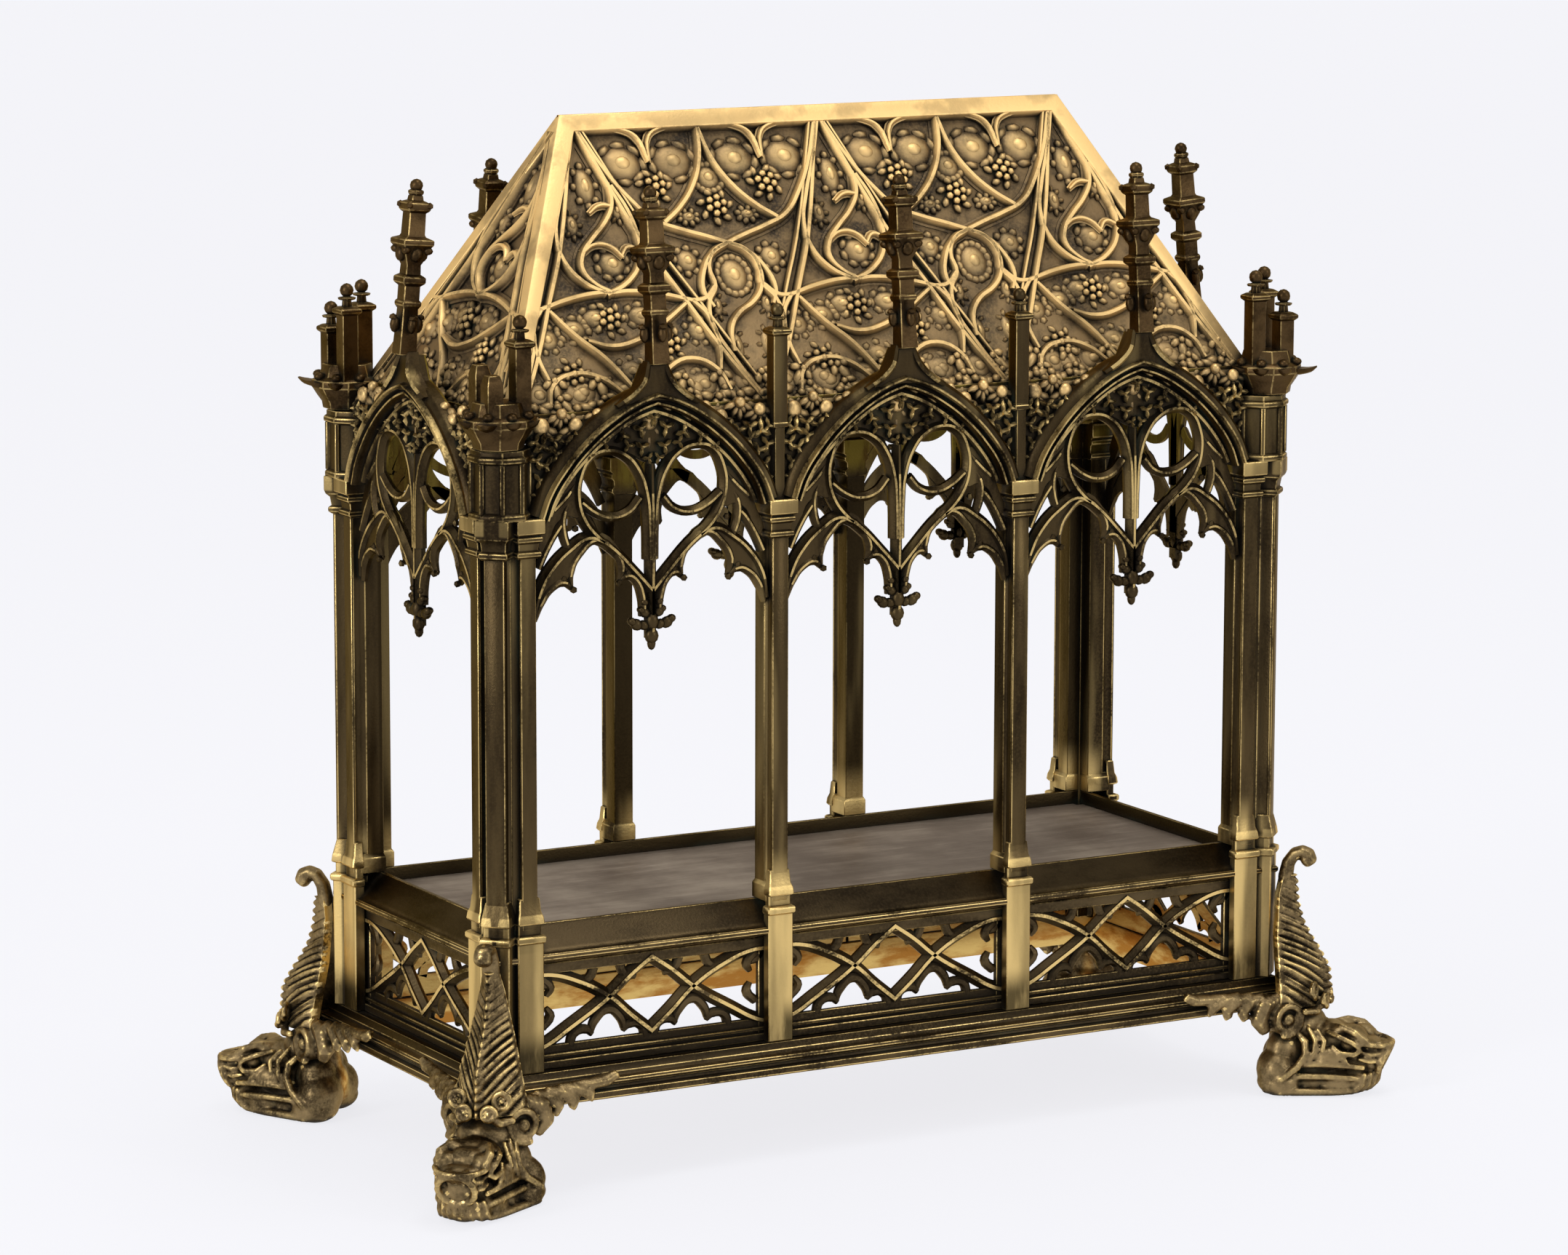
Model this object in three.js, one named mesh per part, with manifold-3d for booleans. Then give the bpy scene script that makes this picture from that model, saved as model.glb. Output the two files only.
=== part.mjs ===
// A gothic-revival reliquary casket in cast brass. Three bays of open pointed arches on a pierced
// predella carry a hipped roof carved with tracery, and the whole stands on four grotesque feet.
// Millimetres, +Z up, the long side along X. The origin is on the table, under the casket's middle.
//
// Each wall is drawn in a frame of its own: x runs along the wall, "out" is the distance outwards
// from the line through the corner piers' centres, and z is the height above the table.

import * as THREE from "three";
import { mergeVertices } from "three/addons/utils/BufferGeometryUtils.js";
import Module from "manifold-3d";

const wasm = await Module();
wasm.setup();

// ---------------------------------------------------------------- driving dimensions

const GAP = 0.3; // the joint between two pieces that are fitted together
const PITCH = 80; // one bay of the long sides, pier centre to pier centre
const BAYS = 3;
const END_PITCH = 83; // the single bay of each end
const HALF_X = (BAYS * PITCH) / 2; // the corner piers' centre lines
const HALF_Y = END_PITCH / 2;

const PLINTH_BOTTOM = 25; // also the height of the feet under it
const PLINTH_TOP = 34;
const PLINTH_OUT = 15; // how far the plinth's lowest moulding stands out
const PANEL_TOP = 64.5; // the pierced panels stand on the plinth and end under the sill
const SILL_BOTTOM = 64.8;
const SILL_TOP = 75;
const FLOOR_TOP = 71;
const CAPITAL_BOTTOM = 181;
const CAPITAL_TOP = 191.7;
const CORNER_RING = 211; // the top of the corner piers, under their crowns
const FRINGE_BOTTOM = 213.8; // the leafy edge that hangs from the eaves
const EAVES = 218.6;
const RIDGE = 298.6;

const ROOF_HALF_X = 123.2;
const ROOF_HALF_Y = 46.8;
const RIDGE_HALF = 83.2;
const ROOF_WALL = 2.4;
const FIELD_DEPTH = 2.4; // how deep the roof's fields are sunk between its bands and ribs

const SHAFT_WIDTH = 6.2;
const SHAFT_OUT = [1.8, 11.3]; // a pier's shaft, from its inner to its outer face
const PILASTER_WIDTH = 8;
const PILASTER_OUT = [8.7, 11.9];
const PANEL_OUT = [5.8, 8.4];
const TRACERY_OUT = [6.8, 9.6];
const HOOD_OUT = 14.2; // the face of the hood mould over each arch
const HOOD_WIDTH = 6;
const FINIAL_BOTTOM = 232.7;
const FINIAL_OUT = 12.2;
const FINIAL_LEAN = -0.09; // radians, in towards the roof

// ---------------------------------------------------------------- solids from geometries

function solid(geometry) {
  const bare = geometry.clone();
  bare.deleteAttribute("normal");
  bare.deleteAttribute("uv");
  const merged = mergeVertices(bare, 1e-3);
  return new wasm.Manifold(
    new wasm.Mesh({
      numProp: 3,
      vertProperties: merged.getAttribute("position").array,
      triVerts: new Uint32Array(merged.index.array),
    }),
  );
}

function geometryOf(made) {
  const mesh = made.getMesh();
  const geometry = new THREE.BufferGeometry();
  geometry.setAttribute("position", new THREE.BufferAttribute(mesh.vertProperties, 3));
  geometry.setIndex(new THREE.BufferAttribute(mesh.triVerts, 1));
  geometry.computeVertexNormals();
  return geometry;
}

const union = (solids) => solids.reduce((all, one) => all.add(one));

// A box between two corners in the wall's frame.
function block([x0, x1], [out0, out1], [z0, z1]) {
  const box = new THREE.BoxGeometry(x1 - x0, out1 - out0, z1 - z0);
  return solid(box.translate((x0 + x1) / 2, -(out0 + out1) / 2, (z0 + z1) / 2));
}

const centred = (width, outs, heights) => block([-width / 2, width / 2], outs, heights);

// A flat outline drawn in (x, z) and given a thickness outwards, with holes where asked.
function plate(outline, [out0, out1], holes = []) {
  const shape = new THREE.Shape(outline);
  shape.holes = holes.map((hole) => new THREE.Path(hole));
  const flat = new THREE.ExtrudeGeometry(shape, { depth: out1 - out0, bevelEnabled: false });
  return solid(flat.rotateX(Math.PI / 2).translate(0, -out0, 0));
}

// A plan outline in (x, y) raised between two heights.
function raised(outline, [z0, z1]) {
  const shape = new THREE.Shape(outline);
  const flat = new THREE.ExtrudeGeometry(shape, { depth: z1 - z0, bevelEnabled: false });
  return solid(flat.translate(0, 0, z0));
}

const at = (x, y) => new THREE.Vector2(x, y);
const points = (...pairs) => pairs.map(([x, y]) => at(x, y));
const mirrored = (line) => line.map((p) => at(-p.x, p.y)).reverse();
const smooth = (line, steps) => new THREE.SplineCurve(line).getPoints(steps);

// The outline of a bar of one width along a line.
function ribbon(line, width) {
  const left = [];
  const right = [];
  line.forEach((p, i) => {
    const before = line[Math.max(i - 1, 0)];
    const after = line[Math.min(i + 1, line.length - 1)];
    const along = after.clone().sub(before).normalize();
    const across = at(-along.y, along.x).multiplyScalar(width / 2);
    left.push(p.clone().add(across));
    right.push(p.clone().sub(across));
  });
  return [...right, ...left.reverse()];
}

// A turned or square-sectioned upright: [height, half width] pairs, with flat sides facing x and y.
function upright(levels, sides = 4) {
  const reach = 1 / Math.cos(Math.PI / sides);
  const profile = levels.map(([z, half]) => at(half * reach, z));
  const first = at(0, levels[0][0]);
  const last = at(0, levels[levels.length - 1][0]);
  const turned = new THREE.LatheGeometry([first, ...profile, last], sides);
  return solid(turned.rotateY(Math.PI / sides).rotateX(Math.PI / 2));
}

// A rectangular frame with mitred corners: a closed profile of [out, z] pairs, taken all round.
function frame(profile) {
  const closed = [...profile, profile[0]];
  const reach = Math.SQRT2;
  const line = closed.map(([out, z]) => at((HALF_Y + out) * reach, z));
  const square = new THREE.LatheGeometry(line, 4).rotateY(Math.PI / 4).rotateX(Math.PI / 2);
  const position = square.getAttribute("position");
  for (let i = 0; i < position.count; i++) {
    const x = position.getX(i);
    position.setX(i, x + Math.sign(x) * (HALF_X - HALF_Y));
  }
  return solid(square);
}

// ---------------------------------------------------------------- plinth, sill and floor

// The plinth's mouldings: the lowest fillet, a groove, a round and a weathered top.
const plinth = () =>
  frame([
    [5, PLINTH_BOTTOM],
    [PLINTH_OUT, PLINTH_BOTTOM],
    [PLINTH_OUT, PLINTH_BOTTOM + 2.4],
    [PLINTH_OUT - 1, PLINTH_BOTTOM + 3.2],
    [PLINTH_OUT - 0.4, PLINTH_BOTTOM + 4.4],
    [PLINTH_OUT - 0.8, PLINTH_BOTTOM + 6],
    [PLINTH_OUT - 2.4, PLINTH_TOP],
    [5, PLINTH_TOP],
  ]);

// The space that the feet leave free for the plinth.
const plinthSpace = () =>
  frame([
    [5 - GAP, PLINTH_BOTTOM - GAP],
    [PLINTH_OUT + GAP, PLINTH_BOTTOM - GAP],
    [PLINTH_OUT + GAP, PLINTH_BOTTOM + 5],
    [PLINTH_OUT - 2, PLINTH_TOP + GAP],
    [5 - GAP, PLINTH_TOP + GAP],
  ]);

// The sill slopes up from its outer edge, and a lip inside it carries the floor plate.
function sill() {
  const ring = frame(
    [
      [-3, SILL_BOTTOM],
      [9.2, SILL_BOTTOM],
      [11.7, SILL_BOTTOM + 1.4],
      [11.7, SILL_BOTTOM + 2.8],
      [9.8, SILL_BOTTOM + 4],
      [3.2, SILL_TOP - 0.8],
      [1.7, SILL_TOP],
      [1.7, FLOOR_TOP - 2.3],
      [-3, FLOOR_TOP - 2.3],
    ],
  );
  return ring.subtract(union(pierNotches()));
}

// What the sill leaves free: a slot for each pilaster that passes in front of it, and the corners.
function pierNotches() {
  const heights = [SILL_BOTTOM - 1, SILL_TOP + 1];
  const middle = (heights[0] + heights[1]) / 2;
  const width = PILASTER_WIDTH + 0.8 + 2 * GAP;
  const depth = 8;
  const out = PILASTER_OUT[0] - GAP + depth / 2;
  const corner = 26; // clears everything outside a corner's centre
  const cutter = (x, y, sizeX, sizeY) => {
    const box = new THREE.BoxGeometry(sizeX, sizeY, heights[1] - heights[0]);
    return solid(box.translate(x, y, middle));
  };
  const notches = [];
  for (const y of [-1, 1]) {
    notches.push(cutter(-PITCH / 2, y * (HALF_Y + out), width, depth));
    notches.push(cutter(PITCH / 2, y * (HALF_Y + out), width, depth));
    for (const x of [-1, 1]) {
      const near = corner / 2 - GAP;
      notches.push(cutter(x * (HALF_X + near), y * (HALF_Y + near), corner, corner));
      notches.push(cutter(x * HALF_X, y * (HALF_Y + out), width, depth));
      notches.push(cutter(x * (HALF_X + out), y * HALF_Y, depth, width));
    }
  }
  return notches;
}

// The floor rests on the sill's lip and is cut away at its corners round the corner piers.
function floorPlate() {
  const x = HALF_X + 1.7 - GAP;
  const y = HALF_Y + 1.7 - GAP;
  const corner = 2 + GAP;
  const outline = points(
    [-x + corner, -y],
    [x - corner, -y],
    [x - corner, -y + corner],
    [x, -y + corner],
    [x, y - corner],
    [x - corner, y - corner],
    [x - corner, y],
    [-x + corner, y],
    [-x + corner, y - corner],
    [-x, y - corner],
    [-x, -y + corner],
    [-x + corner, -y + corner],
  );
  return raised(outline, [FLOOR_TOP - 2, FLOOR_TOP]);
}

// ---------------------------------------------------------------- pierced panels

// Two waved bars cross into a diamond between two crosses, inside a moulded frame.
function lattice(pitch) {
  const half = pitch / 2 - 0.4;
  const wide = pitch / PITCH;
  const low = PLINTH_TOP + GAP;
  const rail = 40.4;
  const head = 63;
  const outline = points([-half, low], [half, low], [half, PANEL_TOP], [-half, PANEL_TOP]);
  const stile = 35 * wide;
  const hole = points([-stile, rail], [-stile, head], [stile, head], [stile, rail]);
  const falling = points([-36, 60.6], [-13.4, 52.8], [0, 41.8]);
  const rising = points([-36, 42.4], [-13.4, 52.8], [0, 62.6]);
  const bars = [falling, rising].map((line) => {
    const scaled = line.map((p) => at(p.x * wide, p.y));
    const full = [...scaled, ...mirrored(scaled).slice(1)];
    return plate(ribbon(full, 4.2), PANEL_OUT);
  });
  const foot = block([-half, half], [PANEL_OUT[0], PANEL_OUT[1] + 2.2], [low, low + 2]);
  return union([plate(outline, PANEL_OUT, [hole]), foot.subtract(panelFootNotches(half)), ...bars]);
}

// The rail's lower moulding stops beside the pilasters.
function panelFootNotches(half) {
  const reach = PILASTER_WIDTH / 2 + GAP;
  const outs = [PANEL_OUT[1], PANEL_OUT[1] + 4];
  const heights = [PLINTH_TOP, PLINTH_TOP + 4];
  const left = block([-half - 1, -half - 0.4 + reach], outs, heights);
  const right = block([half + 0.4 - reach, half + 1], outs, heights);
  return left.add(right);
}

// ---------------------------------------------------------------- arches

// One flank of a pointed arch: part of a circle through its foot and its point.
function flank(foot, point, radius, steps) {
  const chord = point.clone().sub(foot);
  const middle = foot.clone().add(point).multiplyScalar(0.5);
  const inward = at(-chord.y, chord.x).normalize();
  const back = Math.sqrt(radius * radius - chord.lengthSq() / 4);
  const centre = middle.addScaledVector(inward, back);
  const from = foot.clone().sub(centre).angle();
  const to = point.clone().sub(centre).angle();
  const sweep = ((to - from + 3 * Math.PI) % (2 * Math.PI)) - Math.PI;
  const line = [];
  for (let i = 0; i <= steps; i++) {
    const angle = from + (sweep * i) / steps;
    line.push(at(centre.x + radius * Math.cos(angle), centre.y + radius * Math.sin(angle)));
  }
  return line;
}

// The band of an arch, from its right foot over the point to its left foot and back.
function archBand(half, foot, point, width, steps) {
  const radius = 61;
  const outer = flank(at(half, foot), at(0, point), radius, steps);
  const inner = flank(at(half - width, foot), at(0, point - width * 1.12), radius, steps);
  const over = [...outer, ...mirrored(outer).slice(1)];
  const under = [...inner, ...mirrored(inner).slice(1)];
  return [...over, ...under.reverse()];
}

function archPanel(pitch) {
  const wide = pitch / PITCH;
  const spread = (line) => line.map((p) => at(p.x * wide, p.y));
  const both = (line) => [spread(line), mirrored(spread(line))];
  const stretch = (line) => line.map((p) => at(p.x + (Math.sign(p.x) * (pitch - PITCH)) / 2, p.y));
  const foot = CAPITAL_TOP + GAP;
  const point = 225.6;
  const hood = plate(archBand(37.6 * wide, foot, point, HOOD_WIDTH, 5), [TRACERY_OUT[0], HOOD_OUT]);
  const capSide = points([9, 220.6], [3.2, 227], [2.4, 232]);
  const cap = [at(0, 223), ...capSide, ...mirrored(capSide)];
  const crown = points([-29, 199], [0, 201], [29, 199], [20, 213], [0, 222], [-20, 213]);
  const loopUp = points([1, 168], [2, 192], [8, 206], [15, 208.6]);
  const loopDown = points([21.6, 204], [22, 191], [15.6, 182.6], [1, 168]);
  const loop = [...loopUp, ...loopDown];
  const web = points(
    [36.4, 160],
    [35, 172],
    [25, 185],
    [17, 187.5],
    [1, 171],
    [1, 163],
    [5, 170.4],
    [10, 171],
    [17.4, 183],
    [24.6, 171],
    [30.6, 169.6],
    [33.6, 160],
  );
  const pendant = points([1.4, 168], [4.8, 165], [1.9, 162], [6.4, 160], [4.6, 157], [0, 152.4]);
  const hanging = [...pendant, ...mirrored(pendant).slice(1)];
  const stem = points([-1.6, 166], [1.6, 166], [2.2, 204], [-2.2, 204]);
  const wall = points([37.2, 196], [37.2, 213.4], [19, 213.4], [30, 204]);
  return union([
    hood,
    plate(spread(cap), [TRACERY_OUT[0], HOOD_OUT]),
    plate(spread(crown), TRACERY_OUT),
    plate(stem, TRACERY_OUT),
    plate(hanging, [TRACERY_OUT[0] - 0.4, TRACERY_OUT[1] + 0.4]),
    ...both(loop).map((line) => plate(ribbon(line, 2.8), TRACERY_OUT)),
    ...[wall, mirrored(wall)].map((line) => plate(stretch(line), TRACERY_OUT)),
    ...both(web).map((line) => plate(line, TRACERY_OUT)),
  ]);
}

// ---------------------------------------------------------------- finials and pinnacles

// The tall finial on an arch's point. It is square in section and leans in towards the roof.
function finial() {
  const shape = upright([
    [0, 3],
    [17, 3.3],
    [19, 4.4],
    [20.2, 3.2],
    [22.4, 3.4],
    [26, 5.8],
    [29, 6.2],
    [31, 6.2],
    [31.6, 2.9],
    [39, 2.9],
    [40.4, 3.8],
    [43, 1.7],
    [46.6, 2.2],
    [49.6, 0.9],
  ]);
  const lean = new THREE.Matrix4().makeRotationX(FINIAL_LEAN);
  const moved = new THREE.Matrix4().makeTranslation(0, -FINIAL_OUT, FINIAL_BOTTOM);
  return shape.transform(moved.multiply(lean).elements);
}

// A short pinnacle with a ring and a knob, standing at a height above the corner crown or pier.
function pinnacle(base, height, half, broken = false) {
  const neck = base + height - 6;
  const levels = [
    [base, half],
    [neck - 2.4, half],
    [neck - 1.6, half + 1],
    [neck, half + 1],
  ];
  const knob = [
    [neck + 1.4, half - 0.6],
    [neck + 4, half + 0.3],
    [neck + 6, half - 0.9],
  ];
  return upright(broken ? levels : [...levels, ...knob]);
}

// ---------------------------------------------------------------- piers

// Lower pilaster, band, weathered base, shaft and capital, all of one width family.
function pierStages(width, [inner, outer]) {
  const half = width / 2;
  const wide = PILASTER_WIDTH / 2;
  const face = PILASTER_OUT;
  return [
    block([-wide, wide], face, [PLINTH_TOP + GAP, 77]),
    block([-wide - 0.4, wide + 0.4], [face[0], face[1] + 0.8], [70, 72]),
    block([-half - 0.8, half + 0.8], [inner, face[1] + 0.4], [SILL_TOP + GAP, 79]),
    block([-half, half], [inner, outer], [79, CAPITAL_TOP]),
    block([-half - 0.7, half + 0.7], [inner, outer + 0.9], [CAPITAL_BOTTOM, CAPITAL_BOTTOM + 2]),
    block([-half - 1.3, half + 1.3], [inner, outer + 2.2], [CAPITAL_BOTTOM + 5, CAPITAL_TOP]),
  ];
}

function pier() {
  const slender = 1.8;
  const behind = [TRACERY_OUT[0], SHAFT_OUT[1] - 0.5]; // the part of the shaft clear of the eaves
  const middle = (TRACERY_OUT[0] + SHAFT_OUT[1]) / 2;
  const top = pinnacle(FRINGE_BOTTOM, 34, slender - 0.1).translate([0, -middle, 0]);
  return union([
    ...pierStages(SHAFT_WIDTH, SHAFT_OUT),
    centred(2 * slender, [SHAFT_OUT[0], behind[1]], [CAPITAL_TOP, FRINGE_BOTTOM - GAP]),
    centred(2 * slender, behind, [FRINGE_BOTTOM - GAP - 1, FRINGE_BOTTOM + 1]),
    top,
  ]);
}

// A corner pier is a cluster of three shafts, one on each face and one on the diagonal. It is drawn
// at its own centre for the front right corner: x and -y point outwards.
function cornerPier() {
  const turned = (list) => list.map((one) => one.rotate([0, 0, 90]));
  const onFront = pierStages(SHAFT_WIDTH - 0.4, SHAFT_OUT);
  const onEnd = turned(pierStages(SHAFT_WIDTH - 0.4, SHAFT_OUT));
  const shaft = (half, heights) => {
    const reach = half * Math.SQRT2;
    const c = 8.4;
    const diamond = points([c, -c - reach], [c + reach, -c], [c, -c + reach], [c - reach, -c]);
    return raised(diamond, heights);
  };
  const square = (near, far, heights) => block([near, far], [near, far], heights);
  const stages = [
    square(0.1, 9.2, [PLINTH_TOP + GAP, SILL_TOP]),
    square(1.8, 9, [SILL_TOP, CAPITAL_TOP]),
    shaft(3.9, [PLINTH_TOP + GAP, 72]),
    shaft(3.2, [72, CAPITAL_TOP]),
    shaft(3.9, [CAPITAL_BOTTOM, CAPITAL_BOTTOM + 2]),
    shaft(4.6, [CAPITAL_BOTTOM + 5, CAPITAL_TOP]),
  ];
  const upper = upright(
    [
      [CAPITAL_TOP, 7.2],
      [CORNER_RING - 2.6, 7.2],
      [CORNER_RING - 2, 8],
      [CORNER_RING, 8],
    ],
    8,
  ).translate([5.6, -5.6, 0]);
  return union([...onFront, ...onEnd, ...stages, upper]);
}

// The crown on a corner pier: a flared leafy cap with three pinnacles, drawn like the pier.
function cornerCrown(broken) {
  const base = CORNER_RING + GAP;
  const flare = upright(
    [
      [base, 6.6],
      [base + 7, 10],
      [base + 9, 10.4],
      [base + 13, 6.8],
    ],
    8,
  ).translate([7.2, -7.6, 0]);
  const leaf = plate(points([8, 214], [17, 217], [25, 219.6], [21, 222], [8, 222.6]), [-1.6, 1.6]);
  const diagonal = leaf.rotate([0, 0, -45]).translate([3, -3, 0]);
  const spots = [
    [1.4, 9.6, 29],
    [9.8, 1.6, 29],
    [10.6, 10.8, 23],
  ];
  const start = base + 8;
  const uprights = spots.map(([p, q, height], i) => {
    const stub = broken && i > 0;
    return pinnacle(start, stub ? height - 9 : height, 2.5, stub).translate([p, -q, 0]);
  });
  return union([flare, diagonal, ...uprights]);
}

// ---------------------------------------------------------------- roof

// A hipped block: a gable prism along X, met by the sloping ends.
function hipped(halfX, halfY, ridgeHalf, base, ridge) {
  const section = points([-halfY, base], [halfY, base], [0, ridge]);
  const gable = plate(section, [-halfX, halfX]).rotate([0, 0, 90]);
  const length = points([-halfX, base], [halfX, base], [ridgeHalf, ridge], [-ridgeHalf, ridge]);
  return gable.intersect(plate(length, [-halfY, halfY]));
}

// A slope's own frame: x along the eaves, y up the slope, z out of it, with its origin on the ridge.
function slopeMatrix(turn, run) {
  const long = Math.abs(Math.sin(turn)) < 0.5;
  const rise = RIDGE - EAVES;
  const up = new THREE.Vector3(0, run, rise).normalize();
  const along = new THREE.Vector3(1, 0, 0);
  const outward = along.clone().cross(up);
  const basis = new THREE.Matrix4().makeBasis(along, up, outward);
  const ridgeEnd = new THREE.Matrix4().makeTranslation(0, long ? 0 : -RIDGE_HALF, RIDGE);
  return new THREE.Matrix4().makeRotationZ(turn).multiply(ridgeEnd).multiply(basis);
}

function onSlope(outline, [low, high], matrix) {
  const shape = new THREE.Shape(outline);
  const flat = new THREE.ExtrudeGeometry(shape, { depth: high - low, bevelEnabled: false });
  return solid(flat.translate(0, 0, low).applyMatrix4(matrix));
}

// The main lines of the roof's tracery, as distances along the ridge and down the slope, for half a
// bay from a rib fan at 0 to the middle of the bay at half a pitch.
const ROOF_RIBS = [
  points([0, -4], [13.6, -42], [28, -74], [40, -94]),
  points([0, -6], [16, -33], [40, -43], [52, -57]),
  points([-1.6, -8], [-12.6, -40], [0, -57]),
  points([0, -57], [20, -64], [31, -80]),
];

// One slope's sunk field, and the ribs that stand in it, as [field, ribs].
function slopeRelief({ turn, run, eave, top, nodes }) {
  const matrix = slopeMatrix(turn, run);
  const foot = -Math.hypot(run, RIDGE - EAVES) - 4;
  const head = top > 0 ? -6.4 : -17;
  const topHalf = top > 0 ? top - 4 : 2.4;
  const field = points([-eave + 9, foot], [eave - 9, foot], [topHalf, head], [-topHalf, head]);
  const inside = onSlope(field, [-3, 3], matrix);
  const ribs = nodes.flatMap((node) =>
    ROOF_RIBS.flatMap((line) => [line, mirrored(line)]).map((line) => {
      const moved = line.map((p) => at(p.x + node, p.y));
      return onSlope(ribbon(moved, 2.4), [-FIELD_DEPTH - 0.4, 2], matrix).intersect(inside);
    }),
  );
  return [onSlope(field, [-FIELD_DEPTH, 3], matrix), union(ribs)];
}

// The band under the eaves. A frame keeps one overhang all round, so its length is brought to the
// roof's own.
function eavesBand() {
  const out = ROOF_HALF_Y - HALF_Y;
  const band = frame([
    [out - ROOF_WALL, FRINGE_BOTTOM],
    [out, FRINGE_BOTTOM],
    [out, EAVES + 0.2],
    [out - ROOF_WALL, EAVES + 3],
  ]);
  return band.scale([(ROOF_HALF_X - 0.01) / (HALF_X + out), 1, 1]);
}

function roof() {
  const outer = hipped(ROOF_HALF_X, ROOF_HALF_Y, RIDGE_HALF, EAVES, RIDGE);
  const inner = hipped(ROOF_HALF_X - 5, ROOF_HALF_Y - 5, RIDGE_HALF - 1.2, EAVES - 1, RIDGE - 7);
  const long = { run: ROOF_HALF_Y, eave: ROOF_HALF_X, top: RIDGE_HALF, nodes: [-PITCH, 0, PITCH] };
  const end = { run: ROOF_HALF_X - RIDGE_HALF, eave: ROOF_HALF_Y, top: 0, nodes: [0] };
  const reliefs = [
    slopeRelief({ ...long, turn: 0 }),
    slopeRelief({ ...long, turn: Math.PI }),
    slopeRelief({ ...end, turn: Math.PI / 2 }),
    slopeRelief({ ...end, turn: -Math.PI / 2 }),
  ];
  const fields = union(reliefs.map(([field]) => field));
  const ribs = union(reliefs.map(([, rib]) => rib)).intersect(outer);
  return outer.subtract(fields).add(ribs).add(eavesBand()).subtract(inner);
}

// ---------------------------------------------------------------- feet

// A foot is drawn with x running outwards along the casket's diagonal, from the plinth's corner.
function foot() {
  const side = points(
    [-8, 0],
    [21, 0],
    [25, 5],
    [10, 7.2],
    [11.4, 8.8],
    [30, 9],
    [33, 13.5],
    [31, 15.8],
    [26.4, 15.8],
    [25, 20.4],
    [16.6, 21.4],
    [15, 34],
    [4, 36],
    [-9, 20],
  );
  const plan = points(
    [-10, -9],
    [-5, -14],
    [4, -14.6],
    [16, -10.6],
    [26, -8.4],
    [32.6, -3.4],
    [32.6, 3.4],
    [26, 8.4],
    [16, 10.6],
    [4, 14.6],
    [-5, 14],
    [-10, 9],
  );
  const head = plate(side, [-20, 20]).intersect(raised(plan, [-1, 40]));
  const curl = smooth(points([13, 24], [14, 33], [11.4, 43], [6.4, 55], [5, 65], [6.6, 72], [11, 72]), 9);
  const blade = plate(ribbon(curl, 3), [-12, 12]);
  const taper = points([-7, 20], [7, 20], [8, 36], [3.8, 78], [-3.8, 78], [-8, 36]);
  const leaf = blade.intersect(plate(taper, [-30, 30]).rotate([0, 0, 90]));
  return union([head, leaf, footFlank(1), footFlank(-1)]);
}

// The scroll and the leaf that run from a foot along one side of the plinth.
function footFlank(side) {
  const scroll = new THREE.CylinderGeometry(4.8, 4.8, 6, 8).translate(-9, 1, 19);
  const outline = points([-4, 13], [-20, 19], [-35, 27.4], [-12, 27.2], [-2, 26]);
  const leaf = plate(outline, [-3, 1.6]);
  const made = solid(scroll).add(leaf);
  return side > 0 ? made.rotate([0, 0, 45]) : made.mirror([0, 1, 0]).rotate([0, 0, -45]);
}

// ---------------------------------------------------------------- assembly

const FINISHES = {
  arcade: { color: 0x5c4c28, roughness: 0.42 },
  predella: { color: 0x6b5b30, roughness: 0.42 },
  roof: { color: 0x9c7638, roughness: 0.45 },
  pinnacles: { color: 0x4a3324, roughness: 0.55 },
  floor: { color: 0x6c6256, roughness: 0.6 },
  feet: { color: 0x6f5632, roughness: 0.5 },
};

const casket = new THREE.Group();

function addPiece(name, made, finish, parent = casket) {
  const material = new THREE.MeshStandardMaterial({ ...FINISHES[finish], metalness: 1 });
  const mesh = new THREE.Mesh(geometryOf(made), material);
  mesh.name = name;
  parent.add(mesh);
  return mesh;
}

addPiece("plinth", plinth(), "predella");
addPiece("sill", sill(), "predella");
addPiece("floor_plate", floorPlate(), "floor");
addPiece("roof", roof(), "roof");

// The walls: each bay holds a pierced panel, an arch and its finial, and piers stand between bays.
const longCentres = Array.from({ length: BAYS }, (_, i) => (i - (BAYS - 1) / 2) * PITCH);
const walls = [
  { name: "front", turn: 0, distance: HALF_Y, pitch: PITCH, centres: longCentres },
  { name: "right", turn: Math.PI / 2, distance: HALF_X, pitch: END_PITCH, centres: [0] },
  { name: "back", turn: Math.PI, distance: HALF_Y, pitch: PITCH, centres: longCentres },
  { name: "left", turn: -Math.PI / 2, distance: HALF_X, pitch: END_PITCH, centres: [0] },
];

for (const wall of walls) {
  const group = new THREE.Group();
  group.rotation.z = wall.turn;
  casket.add(group);
  wall.centres.forEach((x, i) => {
    const place = wall.centres.length > 1 ? `${wall.name}_${i + 1}` : wall.name;
    const pieces = [
      addPiece(`lattice_${place}`, lattice(wall.pitch), "predella", group),
      addPiece(`arch_${place}`, archPanel(wall.pitch), "arcade", group),
      addPiece(`finial_${place}`, finial(), "pinnacles", group),
    ];
    if (i > 0) {
      const between = addPiece(`pier_${wall.name}_${i}`, pier(), "arcade", group);
      between.position.set(x - PITCH / 2, -wall.distance, 0);
    }
    pieces.forEach((piece) => piece.position.set(x, -wall.distance, 0));
  });
}

// The corners. Each pier, crown and foot is drawn for the front right corner, and is turned or
// mirrored to the others.
const corners = [
  { name: "front_right", x: 1, y: -1 },
  { name: "front_left", x: -1, y: -1 },
  { name: "back_left", x: -1, y: 1 },
  { name: "back_right", x: 1, y: 1 },
];

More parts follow.
